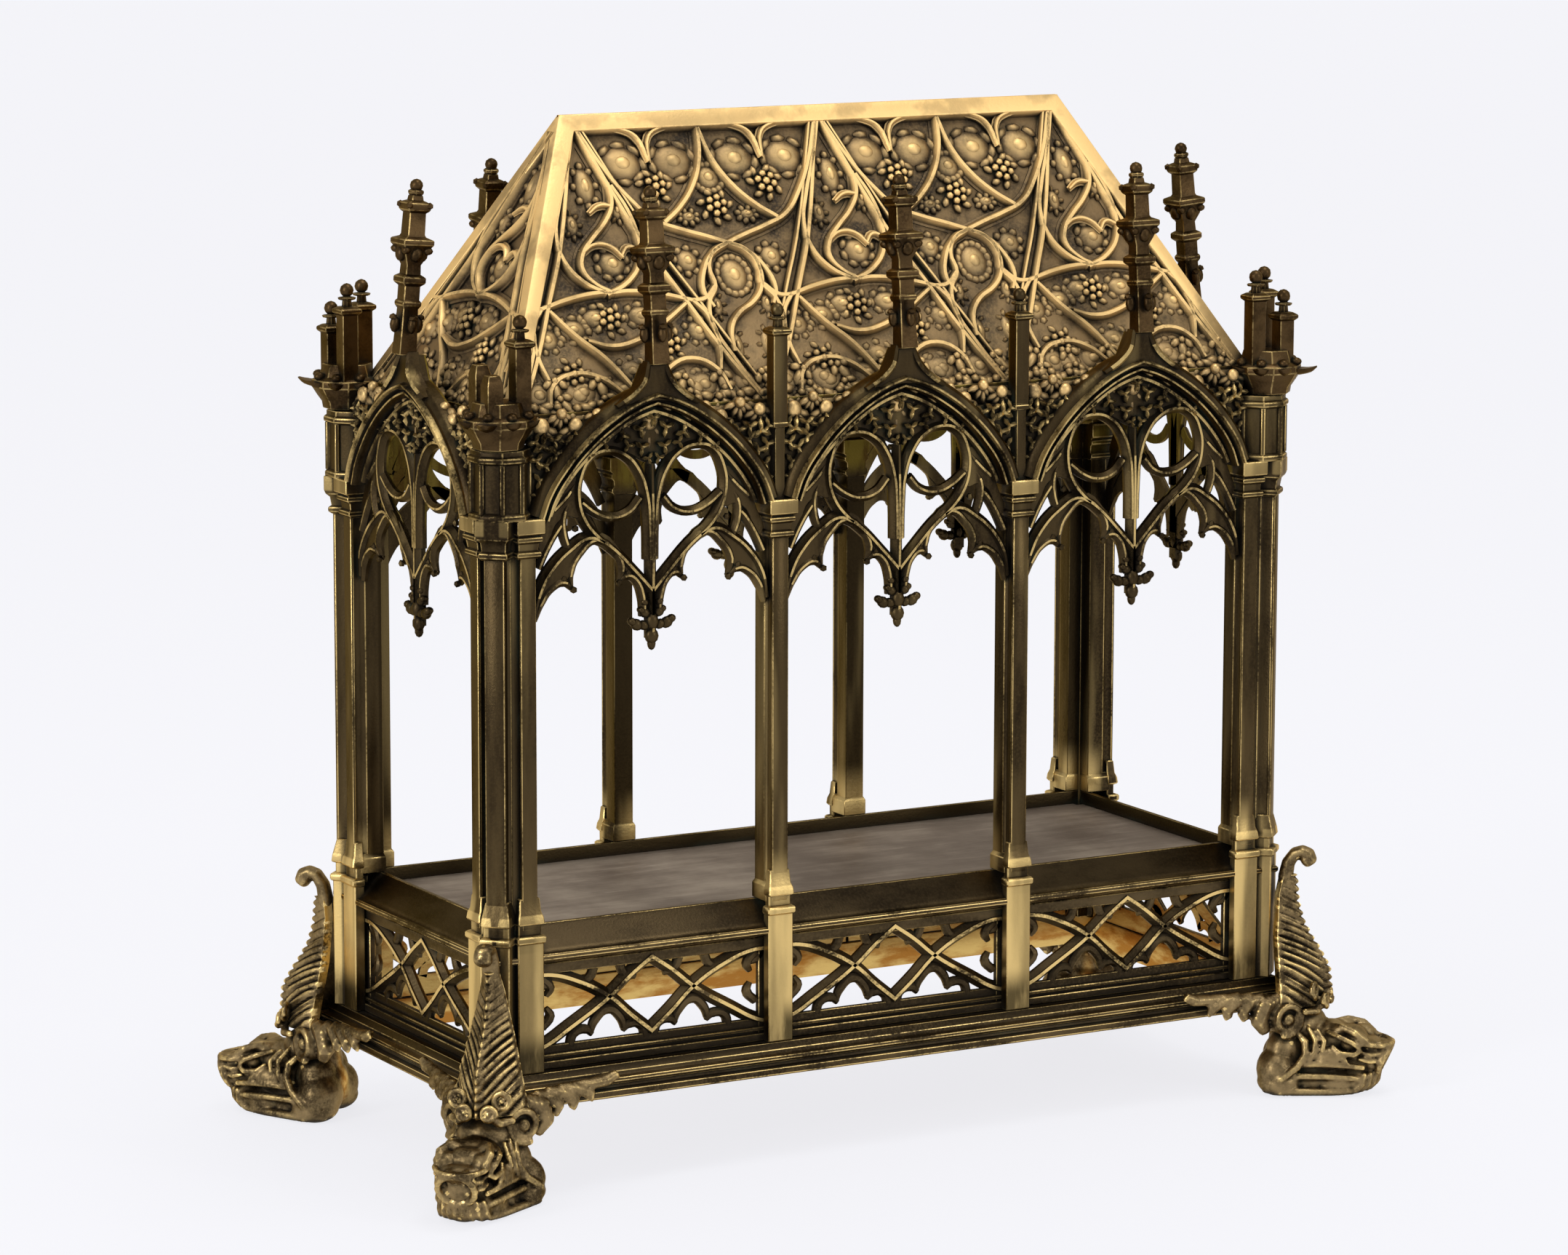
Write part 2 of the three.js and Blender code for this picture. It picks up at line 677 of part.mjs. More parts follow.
const slopes = hipped(ROOF_HALF_X + 1, ROOF_HALF_Y + 1, RIDGE_HALF + 1, EAVES, RIDGE + 2);
const eavesHeights = [FRINGE_BOTTOM - 1, EAVES + 0.2];
const eavesBox = plate(
  points(
    [-ROOF_HALF_X - 1, eavesHeights[0]],
    [ROOF_HALF_X + 1, eavesHeights[0]],
    [ROOF_HALF_X + 1, eavesHeights[1]],
    [-ROOF_HALF_X - 1, eavesHeights[1]],
  ),
  [-ROOF_HALF_Y - 1, ROOF_HALF_Y + 1],
);
const roofSpace = slopes.add(eavesBox);
const crownOrigin = [HALF_X, -HALF_Y, 0];
const toCorner = (made, corner) => made.scale([corner.x, -corner.y, 1]);

for (const corner of corners) {
  const broken = corner.name === "front_left";
  const crown = cornerCrown(broken).translate(crownOrigin).subtract(roofSpace);
  addPiece(`corner_pier_${corner.name}`, toCorner(cornerPier().translate(crownOrigin), corner), "arcade");
  addPiece(`corner_crown_${corner.name}`, toCorner(crown, corner), "pinnacles");
  const corneredFoot = foot()
    .rotate([0, 0, -45])
    .translate([HALF_X + PLINTH_OUT, -HALF_Y - PLINTH_OUT, 0])
    .subtract(plinthSpace());
  addPiece(`foot_${corner.name}`, toCorner(corneredFoot, corner), "feet");
}

export default casket;
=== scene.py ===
# %% [markdown]
# # A gothic-revival reliquary casket
# The real casket is cast brass: open pointed arches on a pierced base, a hipped roof carved with
# tracery, tall finials, and four feet in the shape of grotesque beasts. The solid model gives every
# piece its place and size. Here each piece is made again with its fine mouldings and its patina.

# %% Load the solid model
import math
import random

import bmesh
import bpy
from mathutils import Matrix, Vector


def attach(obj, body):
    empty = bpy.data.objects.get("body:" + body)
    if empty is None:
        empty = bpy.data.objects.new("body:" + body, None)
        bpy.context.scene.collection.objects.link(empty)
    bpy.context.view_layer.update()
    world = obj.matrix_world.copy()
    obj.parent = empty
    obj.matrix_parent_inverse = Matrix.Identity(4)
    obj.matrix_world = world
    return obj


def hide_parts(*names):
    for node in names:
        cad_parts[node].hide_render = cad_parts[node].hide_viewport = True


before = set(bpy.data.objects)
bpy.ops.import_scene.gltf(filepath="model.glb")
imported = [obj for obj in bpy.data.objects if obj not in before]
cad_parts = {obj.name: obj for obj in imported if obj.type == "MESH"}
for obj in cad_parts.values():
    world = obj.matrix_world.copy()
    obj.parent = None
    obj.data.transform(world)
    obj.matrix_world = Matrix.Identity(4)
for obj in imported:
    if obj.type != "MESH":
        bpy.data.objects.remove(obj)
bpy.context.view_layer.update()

scene = bpy.context.scene
scene.view_settings.view_transform = "Standard"

# %% [markdown]
# ## The measures
# Everything is drawn in millimetres and brought to metres when it is put in its place. A wall is
# drawn flat: x runs along it, z is the height above the table, and "out" is how far something stands
# out from the line through the corner piers' centres. The carvers' grid is one bay wide, so the
# curves of the tracery are given in bays.

# %% Measures
BAY = 80.0
END_BAY = 83.0
HALF_X, HALF_Y = 120.0, 41.5
PLINTH_BOTTOM = 25.0
RIDGE, EAVES, FRINGE = 298.6, 218.6, 213.8
ROOF_X, ROOF_Y, RIDGE_HALF = 123.2, 46.8, 83.2
MM = Matrix.Scale(0.001, 4)

# %% [markdown]
# ## Helpers for shapes
# Three ways of making a shape are enough for cast mouldings. A **sweep** draws a moulding along a
# line, as a plasterer runs a template. A **plate** is a flat pierced sheet. A **tower** is a stack of
# sections joined one above the other, for shafts, capitals and pinnacles. Each gives back a mesh, and
# marks its raised fillets and arrises in a face attribute called "edge", because those are the places
# where hands and cloths have polished the brass.

# %% Curves to meshes
def curve_mesh(curve):
    """The mesh of a curve, through a short-lived object."""
    thing = bpy.data.objects.new("curve", curve)
    scene.collection.objects.link(thing)
    graph = bpy.context.evaluated_depsgraph_get()
    mesh = bpy.data.meshes.new_from_object(thing.evaluated_get(graph))
    bpy.data.objects.remove(thing)
    return mesh


def add_line(curve, line, closed=False):
    """One smooth line through its points: (x, y), then the width there, then True for a sharp turn."""
    spline = curve.splines.new("BEZIER")
    spline.bezier_points.add(len(line) - 1)
    spline.use_cyclic_u = closed
    for knot, (x, y, *more) in zip(spline.bezier_points, line):
        knot.co = (x, y, 0)
        knot.radius = more[0] if more else 1.0
        sharp = len(more) > 1 and more[1]
        knot.handle_left_type = knot.handle_right_type = "VECTOR" if sharp else "AUTO"


def mark(mesh, bright):
    """Marks the faces whose centre lies above a height as polished edge."""
    flags = mesh.attributes.new("edge", "FLOAT", "FACE")
    for face in mesh.polygons:
        flags.data[face.index].value = 1.0 if face.center.z > bright else 0.0
    return mesh


def sweep(lines, section, bright=99.0, steps=5, closed=False):
    """A moulding of one section, (across, height), drawn along flat lines."""
    outline = bpy.data.curves.new("section", "CURVE")
    spline = outline.splines.new("POLY")
    spline.points.add(len(section) - 1)
    spline.use_cyclic_u = True
    for point, (across, height) in zip(spline.points, section):
        point.co = (across, height, 0, 1)
    template = bpy.data.objects.new("section", outline)
    rail = bpy.data.curves.new("rail", "CURVE")
    rail.dimensions = "2D"
    rail.resolution_u = steps
    rail.bevel_mode = "OBJECT"
    rail.bevel_object = template
    rail.use_fill_caps = True
    for line in lines:
        add_line(rail, line, closed)
    mesh = mark(curve_mesh(rail), bright)
    bpy.data.objects.remove(template)
    return mesh


def plate(outlines, low, high, edge=0.2, steps=4, bright=99.0):
    """A flat sheet between two heights. An outline inside another is a hole."""
    sheet = bpy.data.curves.new("plate", "CURVE")
    sheet.dimensions = "2D"
    sheet.fill_mode = "BOTH"
    sheet.resolution_u = steps
    sheet.extrude = (high - low) / 2 - edge
    sheet.bevel_depth = edge
    sheet.bevel_resolution = 0
    sheet.offset = -edge
    for outline in outlines:
        add_line(sheet, outline, True)
    mesh = curve_mesh(sheet)
    mesh.transform(Matrix.Translation((0, 0, (low + high) / 2)))
    return mark(mesh, bright)


# %% Towers, balls and joining
def to_mesh(bm):
    mesh = bpy.data.meshes.new("part")
    bm.to_mesh(mesh)
    bm.free()
    return mesh


def soften(bm, width, segments=1, steep=24):
    """Bevels every steep outer edge and marks the new faces as polished edge."""
    flags = bm.faces.layers.float.get("edge") or bm.faces.layers.float.new("edge")
    arrises = [
        e for e in bm.edges
        if len(e.link_faces) == 2 and e.is_convex and e.calc_face_angle() > math.radians(steep)
    ]
    made = bmesh.ops.bevel(
        bm, geom=arrises, offset=width, offset_type="OFFSET", affect="EDGES", segments=segments,
        profile=0.5, material=-1, clamp_overlap=True,
    )
    for face in made["faces"]:
        face[flags] = 1.0


def rise(rings, width=0.25, closed=False, segments=1):
    """Joins rings of points, one above the other, into a solid. A closed one returns to its start."""
    bm = bmesh.new()
    loops = []
    for ring in rings:
        verts = [bm.verts.new(p) for p in ring]
        loops.append([bm.edges.new(pair) for pair in zip(verts, verts[1:] + verts[:1])])
    pairs = list(zip(loops, loops[1:] + (loops[:1] if closed else [])))
    for low, high in pairs:
        bmesh.ops.bridge_loops(bm, edges=low + high)
    if not closed:
        for loop in (loops[0], loops[-1]):
            bmesh.ops.edgeloop_fill(bm, edges=loop)
    bmesh.ops.recalc_face_normals(bm, faces=bm.faces)
    if width:
        soften(bm, width, segments)
    return to_mesh(bm)


def tower(levels, width=0.25):
    """A stack of rectangles (z, half width, nearest out, furthest out) in a wall's frame."""
    rings = [
        [(-half, -near, z), (half, -near, z), (half, -far, z), (-half, -far, z)]
        for z, half, near, far in levels
    ]
    return rise(rings, width)


def turned(levels, sides=4, width=0.25, turn=None):
    """A stack of regular polygons (z, half width), with flat sides towards the axes."""
    start = math.pi / sides if turn is None else turn
    rings = []
    for z, half in levels:
        reach = half / math.cos(math.pi / sides)
        angles = [start + 2 * math.pi * i / sides for i in range(sides)]
        rings.append([(reach * math.cos(a), reach * math.sin(a), z) for a in angles])
    return rise(rings, width)


def ball(centre, size, fine=1, turn=0.0):
    """A round or squashed boss with its three half sizes."""
    bm = bmesh.new()
    place = Matrix.Translation(centre) @ Matrix.Rotation(turn, 4, "Z") @ Matrix.Diagonal((*size, 1))
    bmesh.ops.create_icosphere(bm, subdivisions=fine, radius=1.0, matrix=place)
    return to_mesh(bm)


UPRIGHT = Matrix.Rotation(math.pi / 2, 4, "X")  # stands a flat drawing up against a wall
MIRROR = Matrix.Diagonal((-1, 1, 1, 1))


def placed(mesh, *ways):
    """A copy of a mesh for each matrix, turned right side out again where a matrix mirrors."""
    copies = []
    for way in ways:
        copy = mesh.copy()
        copy.transform(way)
        if way.determinant() < 0:
            copy.flip_normals()
        copies.append(copy)
    return copies


def joined(meshes):
    bm = bmesh.new()
    bm.faces.layers.float.new("edge")
    for mesh in meshes:
        bm.from_mesh(mesh)
    return to_mesh(bm)


def both(mesh):
    return placed(mesh, Matrix(), MIRROR)


def mirrored(line):
    return [(-p[0], *p[1:]) for p in line]


def bays(line, drop=False):
    """A line on the carvers' grid in millimetres: heights above the plinth's underside, or depths
    down a slope."""
    if drop:
        return [(BAY * p[0], -BAY * p[1], *p[2:]) for p in line]
    return [(BAY * p[0], PLINTH_BOTTOM + BAY * p[1], *p[2:]) for p in line]


# %% [markdown]
# ## Finishes
# Shader sums are easier to read as sums. A small class wraps a socket, so that `1 - mask` or
# `worn * spots` adds the Math nodes it needs, and one method makes any other node.

# %% A socket that can be used in sums
class Wire:
    def __init__(self, tree, socket):
        self.tree, self.socket = tree, socket

    def sum(self, operation, first, second=None, clamp=False):
        node = self.tree.nodes.new("ShaderNodeMath")
        node.operation = operation
        node.use_clamp = clamp
        for place, value in zip(node.inputs, (first, second)):
            connect(self.tree, place, value)
        return Wire(self.tree, node.outputs[0])

    def __add__(self, other): return self.sum("ADD", self, other)
    def __radd__(self, other): return self.sum("ADD", other, self)
    def __sub__(self, other): return self.sum("SUBTRACT", self, other)
    def __rsub__(self, other): return self.sum("SUBTRACT", other, self)
    def __mul__(self, other): return self.sum("MULTIPLY", self, other)
    def __rmul__(self, other): return self.sum("MULTIPLY", other, self)
    def __truediv__(self, other): return self.sum("DIVIDE", self, other)
    def __abs__(self): return self.sum("ABSOLUTE", self)
    def highest(self, other): return self.sum("MAXIMUM", self, other)
    def clamped(self): return self.sum("ADD", self, 0.0, True)


def connect(tree, place, value):
    if value is None:
        return
    if isinstance(value, Wire):
        tree.links.new(value.socket, place)
    else:
        place.default_value = value


class Finish:
    """One material and the nodes in it."""

    def __init__(self, name):
        self.material = bpy.data.materials.new(name)
        self.material.use_nodes = True
        self.tree = self.material.node_tree
        self.shader = self.tree.nodes["Principled BSDF"]
        self.place = self.node("TexCoord", output="Object")

    def node(self, kind, settings=None, output=0, **values):
        made = self.tree.nodes.new("ShaderNode" + kind)
        for key, value in (settings or {}).items():
            setattr(made, key, value)
        for key, value in values.items():
            connect(self.tree, made.inputs[key.replace("_", " ")], value)
        return Wire(self.tree, made.outputs[output])

    def speckle(self, scale, detail=3.0, rough=0.55, stretch=(1, 1, 1)):
        """Noise, stretched where asked, from 0 to 1."""
        spot = self.node("Mapping", Vector=self.place, Scale=stretch)
        return self.node("TexNoise", Vector=spot, Scale=scale, Detail=detail, Roughness=rough)

    def ramp(self, value, low, high):
        return self.node(
            "MapRange", {"interpolation_type": "SMOOTHSTEP"},
            Value=value, From_Min=low, From_Max=high,
        )

    def blend(self, amount, first, second, kind="MIX"):
        made = self.tree.nodes.new("ShaderNodeMix")
        made.data_type = "RGBA"
        made.blend_type = kind
        connect(self.tree, made.inputs[0], amount)
        for place, value in ((made.inputs[6], first), (made.inputs[7], second)):
            connect(self.tree, place, (*value, 1) if isinstance(value, tuple) else value)
        return Wire(self.tree, made.outputs[2])

    def set(self, **values):
        for key, value in values.items():
            connect(self.tree, self.shader.inputs[key.replace("_", " ")], value)
        return self.material


# %% [markdown]
# The brass has an old brown-olive patina that is thin in places. It is darkest in the hollows, with a
# breath of green, and it is rubbed through to bright gold on the arrises and fillets. Three things
# drive it: the "edge" marks, how deep a spot lies in a hollow, and noise at three scales. Over it, the
# arcade's finish has a painted sheen, painted highlights and painted shade by height and place, and the
# base's finish painted shade on the inner top of its sill.

# %% Patinated brass
GOLD = (0.78, 0.56, 0.22)


def axes(f):
    """A spot's distances from the casket's middle, along x and y, and its height, in millimetres."""
    parts = f.tree.nodes.new("ShaderNodeSeparateXYZ")
    connect(f.tree, parts.inputs[0], f.place)
    x, y, z = (Wire(f.tree, parts.outputs[i]) * 1000 for i in range(3))
    return abs(x), abs(y), z


def patinated(name, dark, body, thin, polish=1.0, cavity=4.0, rub_and_painted_light=0.0, grime_and_shade=False, lift=None, gold=GOLD,
              cast=False, raw=None, dull=0.0, flow=(1, 1, 1)):
    """Brass under a patina. rub_and_painted_light is how far upright streaks are rubbed thin; where it is set,
    the finish also gets a painted sheen low on the piers, painted shade that darkens the arcade higher up, a
    painted highlight on the outermost front faces, and a mustard tone on the inner faces above the capitals.
    lift says where it is gilt, cast wears every sharp bump of a dense mesh, and raw says where a face was
    left unfinished. grime_and_shade darkens a band at the foot of the arcade, dirties blotches above the
    plinth, where no cloth reaches, and paints shade on the inner faces of the walls. dull makes the metal
    less glossy, and flow stretches the mottling along the way the part was wiped."""
    f = Finish(name)
    broad = f.speckle(38.0, 4.0, 0.55, flow)
    blotch = f.speckle(170.0, 5.0, 0.62, flow)
    grain = f.speckle(1300.0, 3.0, 0.6)
    hollow = 1 - f.node(
        "AmbientOcclusion", {"samples": 6}, output="AO", Distance=cavity * 0.001,
    )
    deep = f.ramp(hollow, 0.12, 0.62)
    color = f.blend(f.ramp(broad + blotch * 0.7, 0.66, 1.04), body, thin)
    color = f.blend(f.ramp(grain + blotch * 0.5, 0.62, 0.95) * 0.5, color, thin)
    if grime_and_shade:
        x, y, low = axes(f)
        # A darker band at the foot of the arcade, from 69 to 76.6 mm up.
        slope = f.ramp(low, 68.6, 69.4) * f.ramp(76.6 - low, 0.0, 0.6)
        within = f.ramp(HALF_Y + 3.4 - y, 0.0, 0.8) * f.ramp(HALF_X + 3.4 - x, 0.0, 0.8)
        # Painted shade: a mask of the inner faces of the walls, from 66 to 182 mm up; they are darkened below and kept
        # from polish further on.
        inside = within * f.ramp(low, 66.0, 70.0) * f.ramp(182.0 - low, 0.0, 4.0)
        color = f.blend(slope * 0.6, color, (0.017, 0.012, 0.007))
        # Painted shade on the inner faces of the walls.
        color = f.blend(inside * 0.75, color, (0.030, 0.020, 0.008))
    if rub_and_painted_light:
        streak = f.speckle(75.0, 3.0, 0.5, (1, 1, 0.1))
        color = f.blend(f.ramp(streak + broad * 0.25, 0.66, 0.80) * rub_and_painted_light, color, gold)
        high = low
        # Painted sheen: between 36 and 92 mm up the piers are painted bright gold in upright streaks, in place of the
        # light they reflect.
        painted_sheen = f.ramp(high, 36.0, 54.0) * f.ramp(92.0 - high, 0.0, 12.0)
        color = f.blend(painted_sheen * f.ramp(streak + broad * 0.2, 0.48, 0.66) * 0.6, color, gold)
        # Painted shade: from 84 mm up the arcade is darkened towards near black, and a little more above 190 mm.
        painted_height_shade = (f.ramp(high, 84.0, 125.0) * 0.34 + f.ramp(high, 190.0, 206.0) * 0.15).clamped()
        color = f.blend(painted_height_shade, color, (0.012, 0.008, 0.0045))
        backs = f.ramp(HALF_Y + 7.6 - y, 0.0, 0.4) * f.ramp(HALF_X + 7.6 - x, 0.0, 0.4) * f.ramp(high, 180.0, 186.0)
        color = f.blend(backs * 0.7, color, f.blend(f.ramp(blotch, 0.4, 0.6), (0.10, 0.055, 0.010), (0.21, 0.15, 0.022)))
        # Painted highlight: the outermost front faces below 80 mm, and the capitals' fronts, are painted gold as if
        # lit from the front, while their sides stay dark; it is weaker on the corner piers' fronts.
        out = (x - HALF_X).highest(y - HALF_Y)
        front = f.ramp(out, 11.5, 11.8) * f.ramp(80.0 - high, 0.0, 0.5)
        front = front.highest(f.ramp(out, 12.8, 13.3) * f.ramp(high, 187.0, 187.8) * f.ramp(192.4 - high, 0.0, 0.5) * 0.45)
        front = front * (1 - f.ramp(x, HALF_X - 2.0, HALF_X) * f.ramp(y - HALF_Y, 11.5, 11.8) * 0.45)
        color = f.blend(front * (0.45 + f.ramp(streak + blotch * 0.3, 0.50, 0.75) * 0.45), color, gold)
    if lift:
        color = f.blend(lift(f), color, gold)
    color = f.blend(deep, color, dark)
    color = f.blend(deep * f.ramp(blotch, 0.5, 0.7) * 0.4, color, (0.035, 0.06, 0.045))
    worn = f.node("Attribute", {"attribute_name": "edge"}, output="Fac")
    if rub_and_painted_light:
        # The painted shade high on the arcade also dims its polished edges.
        worn = worn * (1 - painted_height_shade * 0.45)
    if grime_and_shade:
        # The painted shade on the inner faces also takes the polish off them.
        worn = worn * (1 - inside * 0.75)
        dirty = f.ramp(low, 30.0, 34.0) * f.ramp(48.0 - low, 0.0, 9.0) * f.ramp(broad + blotch, 0.75, 1.05)
        color = f.blend(dirty * 0.85, color, dark)
        worn = worn * (1 - dirty * 0.6)
    if cast:
        bump = f.node("NewGeometry", output="Pointiness")
        worn = worn.highest(f.ramp(bump, 0.512, 0.575))
        color = f.blend(f.ramp(1 - bump, 0.50, 0.56), color, dark)
    worn = (worn * f.ramp(blotch + grain * 0.35, 0.50, 0.80) * polish * (1 - deep * 0.7)).clamped()
    color = f.blend(worn, color, gold)
    if raw:
        color = f.blend(raw(f), color, f.blend(f.ramp(blotch, 0.38, 0.6), (0.50, 0.22, 0.04), (0.90, 0.62, 0.20)))
    pits = f.node("Bump", Height=grain * 0.5 + blotch, Strength=0.35, Distance=0.0004)
    rough = 0.30 + dull + blotch * 0.16 + deep * 0.3 - worn * 0.08
    f.set(Specular_Tint=(0.80, 0.66, 0.48, 1.0))  # old brass stays warm where it is seen at a low angle
    return f.set(Base_Color=color, Metallic=1.0 - deep * 0.45, Roughness=rough, Normal=pits)


def inner_faces(f):
    """The base's inner side, which nobody sees and nobody finished: raw gold."""
    x, y, z = axes(f)
    within = f.ramp(47.6 - y, 0.0, 0.5) * f.ramp(126.1 - x, 0.0, 0.5) * f.ramp(68.5 - z, 0.0, 0.5)
    return (within * 0.85).clamped()


def inner_feet(f):
    """The sides of the feet that face the space under the casket, with an orange raw cast."""
    x, y, z = axes(f)
    facing = f.ramp(24.6 - z, 0.0, 1.0) * (f.ramp(53.5 - y, 0.0, 3.0) * f.ramp(133.0 - x, 0.0, 3.0))
    return (facing * 0.8).clamped()


# The arcade's finish: patina, with a painted sheen, painted highlights and painted shade laid over it.
ARCADE = patinated(
    "painted_light_on_dark_patina", (0.006, 0.005, 0.004), (0.025, 0.017, 0.009), (0.096, 0.065, 0.028), 0.85, rub_and_painted_light=0.22,
    grime_and_shade=True, flow=(1, 1, 0.2),
)
# The base's finish: patina, with painted shade on the inner top of the sill.
BASE = patinated(
    "painted_shade_on_base_patina", (0.009, 0.007, 0.005), (0.027, 0.019, 0.010), (0.110, 0.076, 0.036), 1.5,
    grime_and_shade=True, raw=inner_faces, flow=(0.3, 0.3, 1),
)
SPIRES = patinated("spire_patina", (0.008, 0.005, 0.003), (0.027, 0.016, 0.007), (0.080, 0.048, 0.020), 0.4)
BEASTS = patinated(
    "beast_patina", (0.008, 0.006, 0.004), (0.055, 0.038, 0.019), (0.29, 0.205, 0.096), 1.9, 3.0,
    cast=True, raw=inner_feet,
)
print("finishes", [m.name for m in bpy.data.materials if m.name.endswith("patina")])

# %% [markdown]
# ## Putting a piece in its place
# A finished piece is one object at the origin, with its place in its mesh. It rides on the casket's
# one body and stands in for its solid, which is hidden.

# %% Making a piece
COUNT = {}


def piece(name, mesh, finish, way, nodes, smooth=38):
    copy = placed(mesh, MM @ way)[0]
    copy.name = name
    copy.materials.clear()
    copy.materials.append(finish)
    copy.shade_smooth()
    copy.set_sharp_from_angle(angle=math.radians(smooth))
    made = bpy.data.objects.new(name, copy)
    scene.collection.objects.link(made)
    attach(made, "root")
    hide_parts(*nodes)
    COUNT[name] = sum(len(face.vertices) - 2 for face in copy.polygons)
    return made


WALLS = [
    ("front", 0.0, HALF_Y, BAY, (-BAY, 0.0, BAY)),
    ("right", math.pi / 2, HALF_X, END_BAY, (0.0,)),
    ("back", math.pi, HALF_Y, BAY, (-BAY, 0.0, BAY)),
    ("left", -math.pi / 2, HALF_X, END_BAY, (0.0,)),
]


def every_bay():
    """(name, matrix of the bay, its width over the long bays' width) all round the casket."""
    for wall, turn, out, pitch, centres in WALLS:
        for i, x in enumerate(centres):
            name = f"{wall}_{i + 1}" if len(centres) > 1 else wall
            way = Matrix.Rotation(turn, 4, "Z") @ Matrix.Translation((x, -out, 0))
            yield name, way, pitch / BAY


CORNERS = {"front_right": (1, -1), "front_left": (-1, -1), "back_left": (-1, 1), "back_right": (1, 1)}


def corner_way(name):
    """From the front right corner's own frame to a corner, by mirroring."""
    x, y = CORNERS[name]
    return Matrix.Diagonal((x, -y, 1, 1)) @ Matrix.Translation((HALF_X, -HALF_Y, 0))


# %% [markdown]
# ## Plinth, sill and floor
# The plinth is a hollow frame of stacked mouldings: a fillet, a groove, a round and a weathered top.
# A rectangle that grows and shrinks as it rises makes all of them, and its corners are mitred of
# themselves. The sill is made the same way, with a lip inside that carries the floor.

# %% Plinth and sill
def frame_ring(profile, width, half_x=HALF_X, half_y=HALF_Y):
    rings = []
    for out, z in profile:
        x, y = half_x + out, half_y + out
        rings.append([(-x, -y, z), (x, -y, z), (x, y, z), (-x, y, z)])
    return rise(rings, width, closed=True, segments=2)


PLINTH = [
    (5, 25), (14.6, 25), (15, 25.5), (15, 27.2), (13.4, 27.8), (13.2, 28.5), (14.1, 28.9), (14.7, 29.8),
    (14.5, 30.6), (13.5, 31.0), (13.0, 31.4), (12.9, 32.2), (11.9, 33.3), (11.6, 34), (5, 34),
]
SILL = [
    (-3, 64.8), (8.2, 64.8), (8.6, 65.5), (11.3, 66.0), (11.7, 66.5), (11.7, 67.5), (11.2, 68.0),
    (10.3, 68.1), (9.6, 68.9), (3.4, 74.2), (3.0, 75), (1.7, 75), (1.7, 68.7), (-3, 68.7),
]
piece("plinth_mouldings", frame_ring(PLINTH, 0.14), BASE, Matrix(), ["plinth"])
piece("sill_mouldings", frame_ring(SILL, 0.14), BASE, Matrix(), ["sill"])
print("plinth and sill", COUNT)

# %% [markdown]
# The floor is a thin plate that has been scuffed by whatever stood on it: a dull grey-brown, paler
# in patches, with long fine scratches. Its solid has the right shape, so it only needs a finish.

# %% Floor
f = Finish("scuffed_floor")
broad = f.speckle(22.0, 5.0, 0.6)
scuff = f.speckle(150.0, 6.0, 0.7, (0.25, 1.6, 1))
grain = f.speckle(900.0, 3.0)
tone = f.blend(f.ramp(broad + scuff * 0.5, 0.55, 1.0), (0.20, 0.155, 0.115), (0.46, 0.38, 0.29))
tone = f.blend(f.ramp(scuff, 0.62, 0.74) * 0.35, tone, (0.54, 0.46, 0.36))
bumps = f.node("Bump", Height=scuff + grain * 0.3, Strength=0.3, Distance=0.0003)
f.set(Specular_Tint=(0.75, 0.62, 0.48, 1.0))
FLOOR = f.set(Base_Color=tone, Metallic=0.55, Roughness=0.5 + scuff * 0.2, Normal=bumps)
plate_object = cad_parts["floor_plate"]
plate_object.data.materials.clear()
plate_object.data.materials.append(FLOOR)

# %% [markdown]
# ## Pierced panels
# Each panel of the base is a moulded frame round two crossing bars. They weave into a diamond between
# two crosses, and a thin polished fillet runs along the ridge of every bar. Behind the bars the
# openings are cusped, so each has small points that reach into it.

# %% Panels
BAR = [(-1.9, 0), (-1.9, 0.9), (-0.55, 2.2), (-0.5, 2.7), (0.5, 2.7), (0.55, 2.2), (1.9, 0.9), (1.9, 0)]
THIN = [(-1.0, 0), (-1.0, 0.7), (-0.45, 1.7), (0.45, 1.7), (1.0, 0.7), (1.0, 0)]
CUSP = [(-1.3, 0), (-1.3, 1.3), (-0.6, 1.9), (0.6, 1.9), (1.3, 1.3), (1.3, 0)]


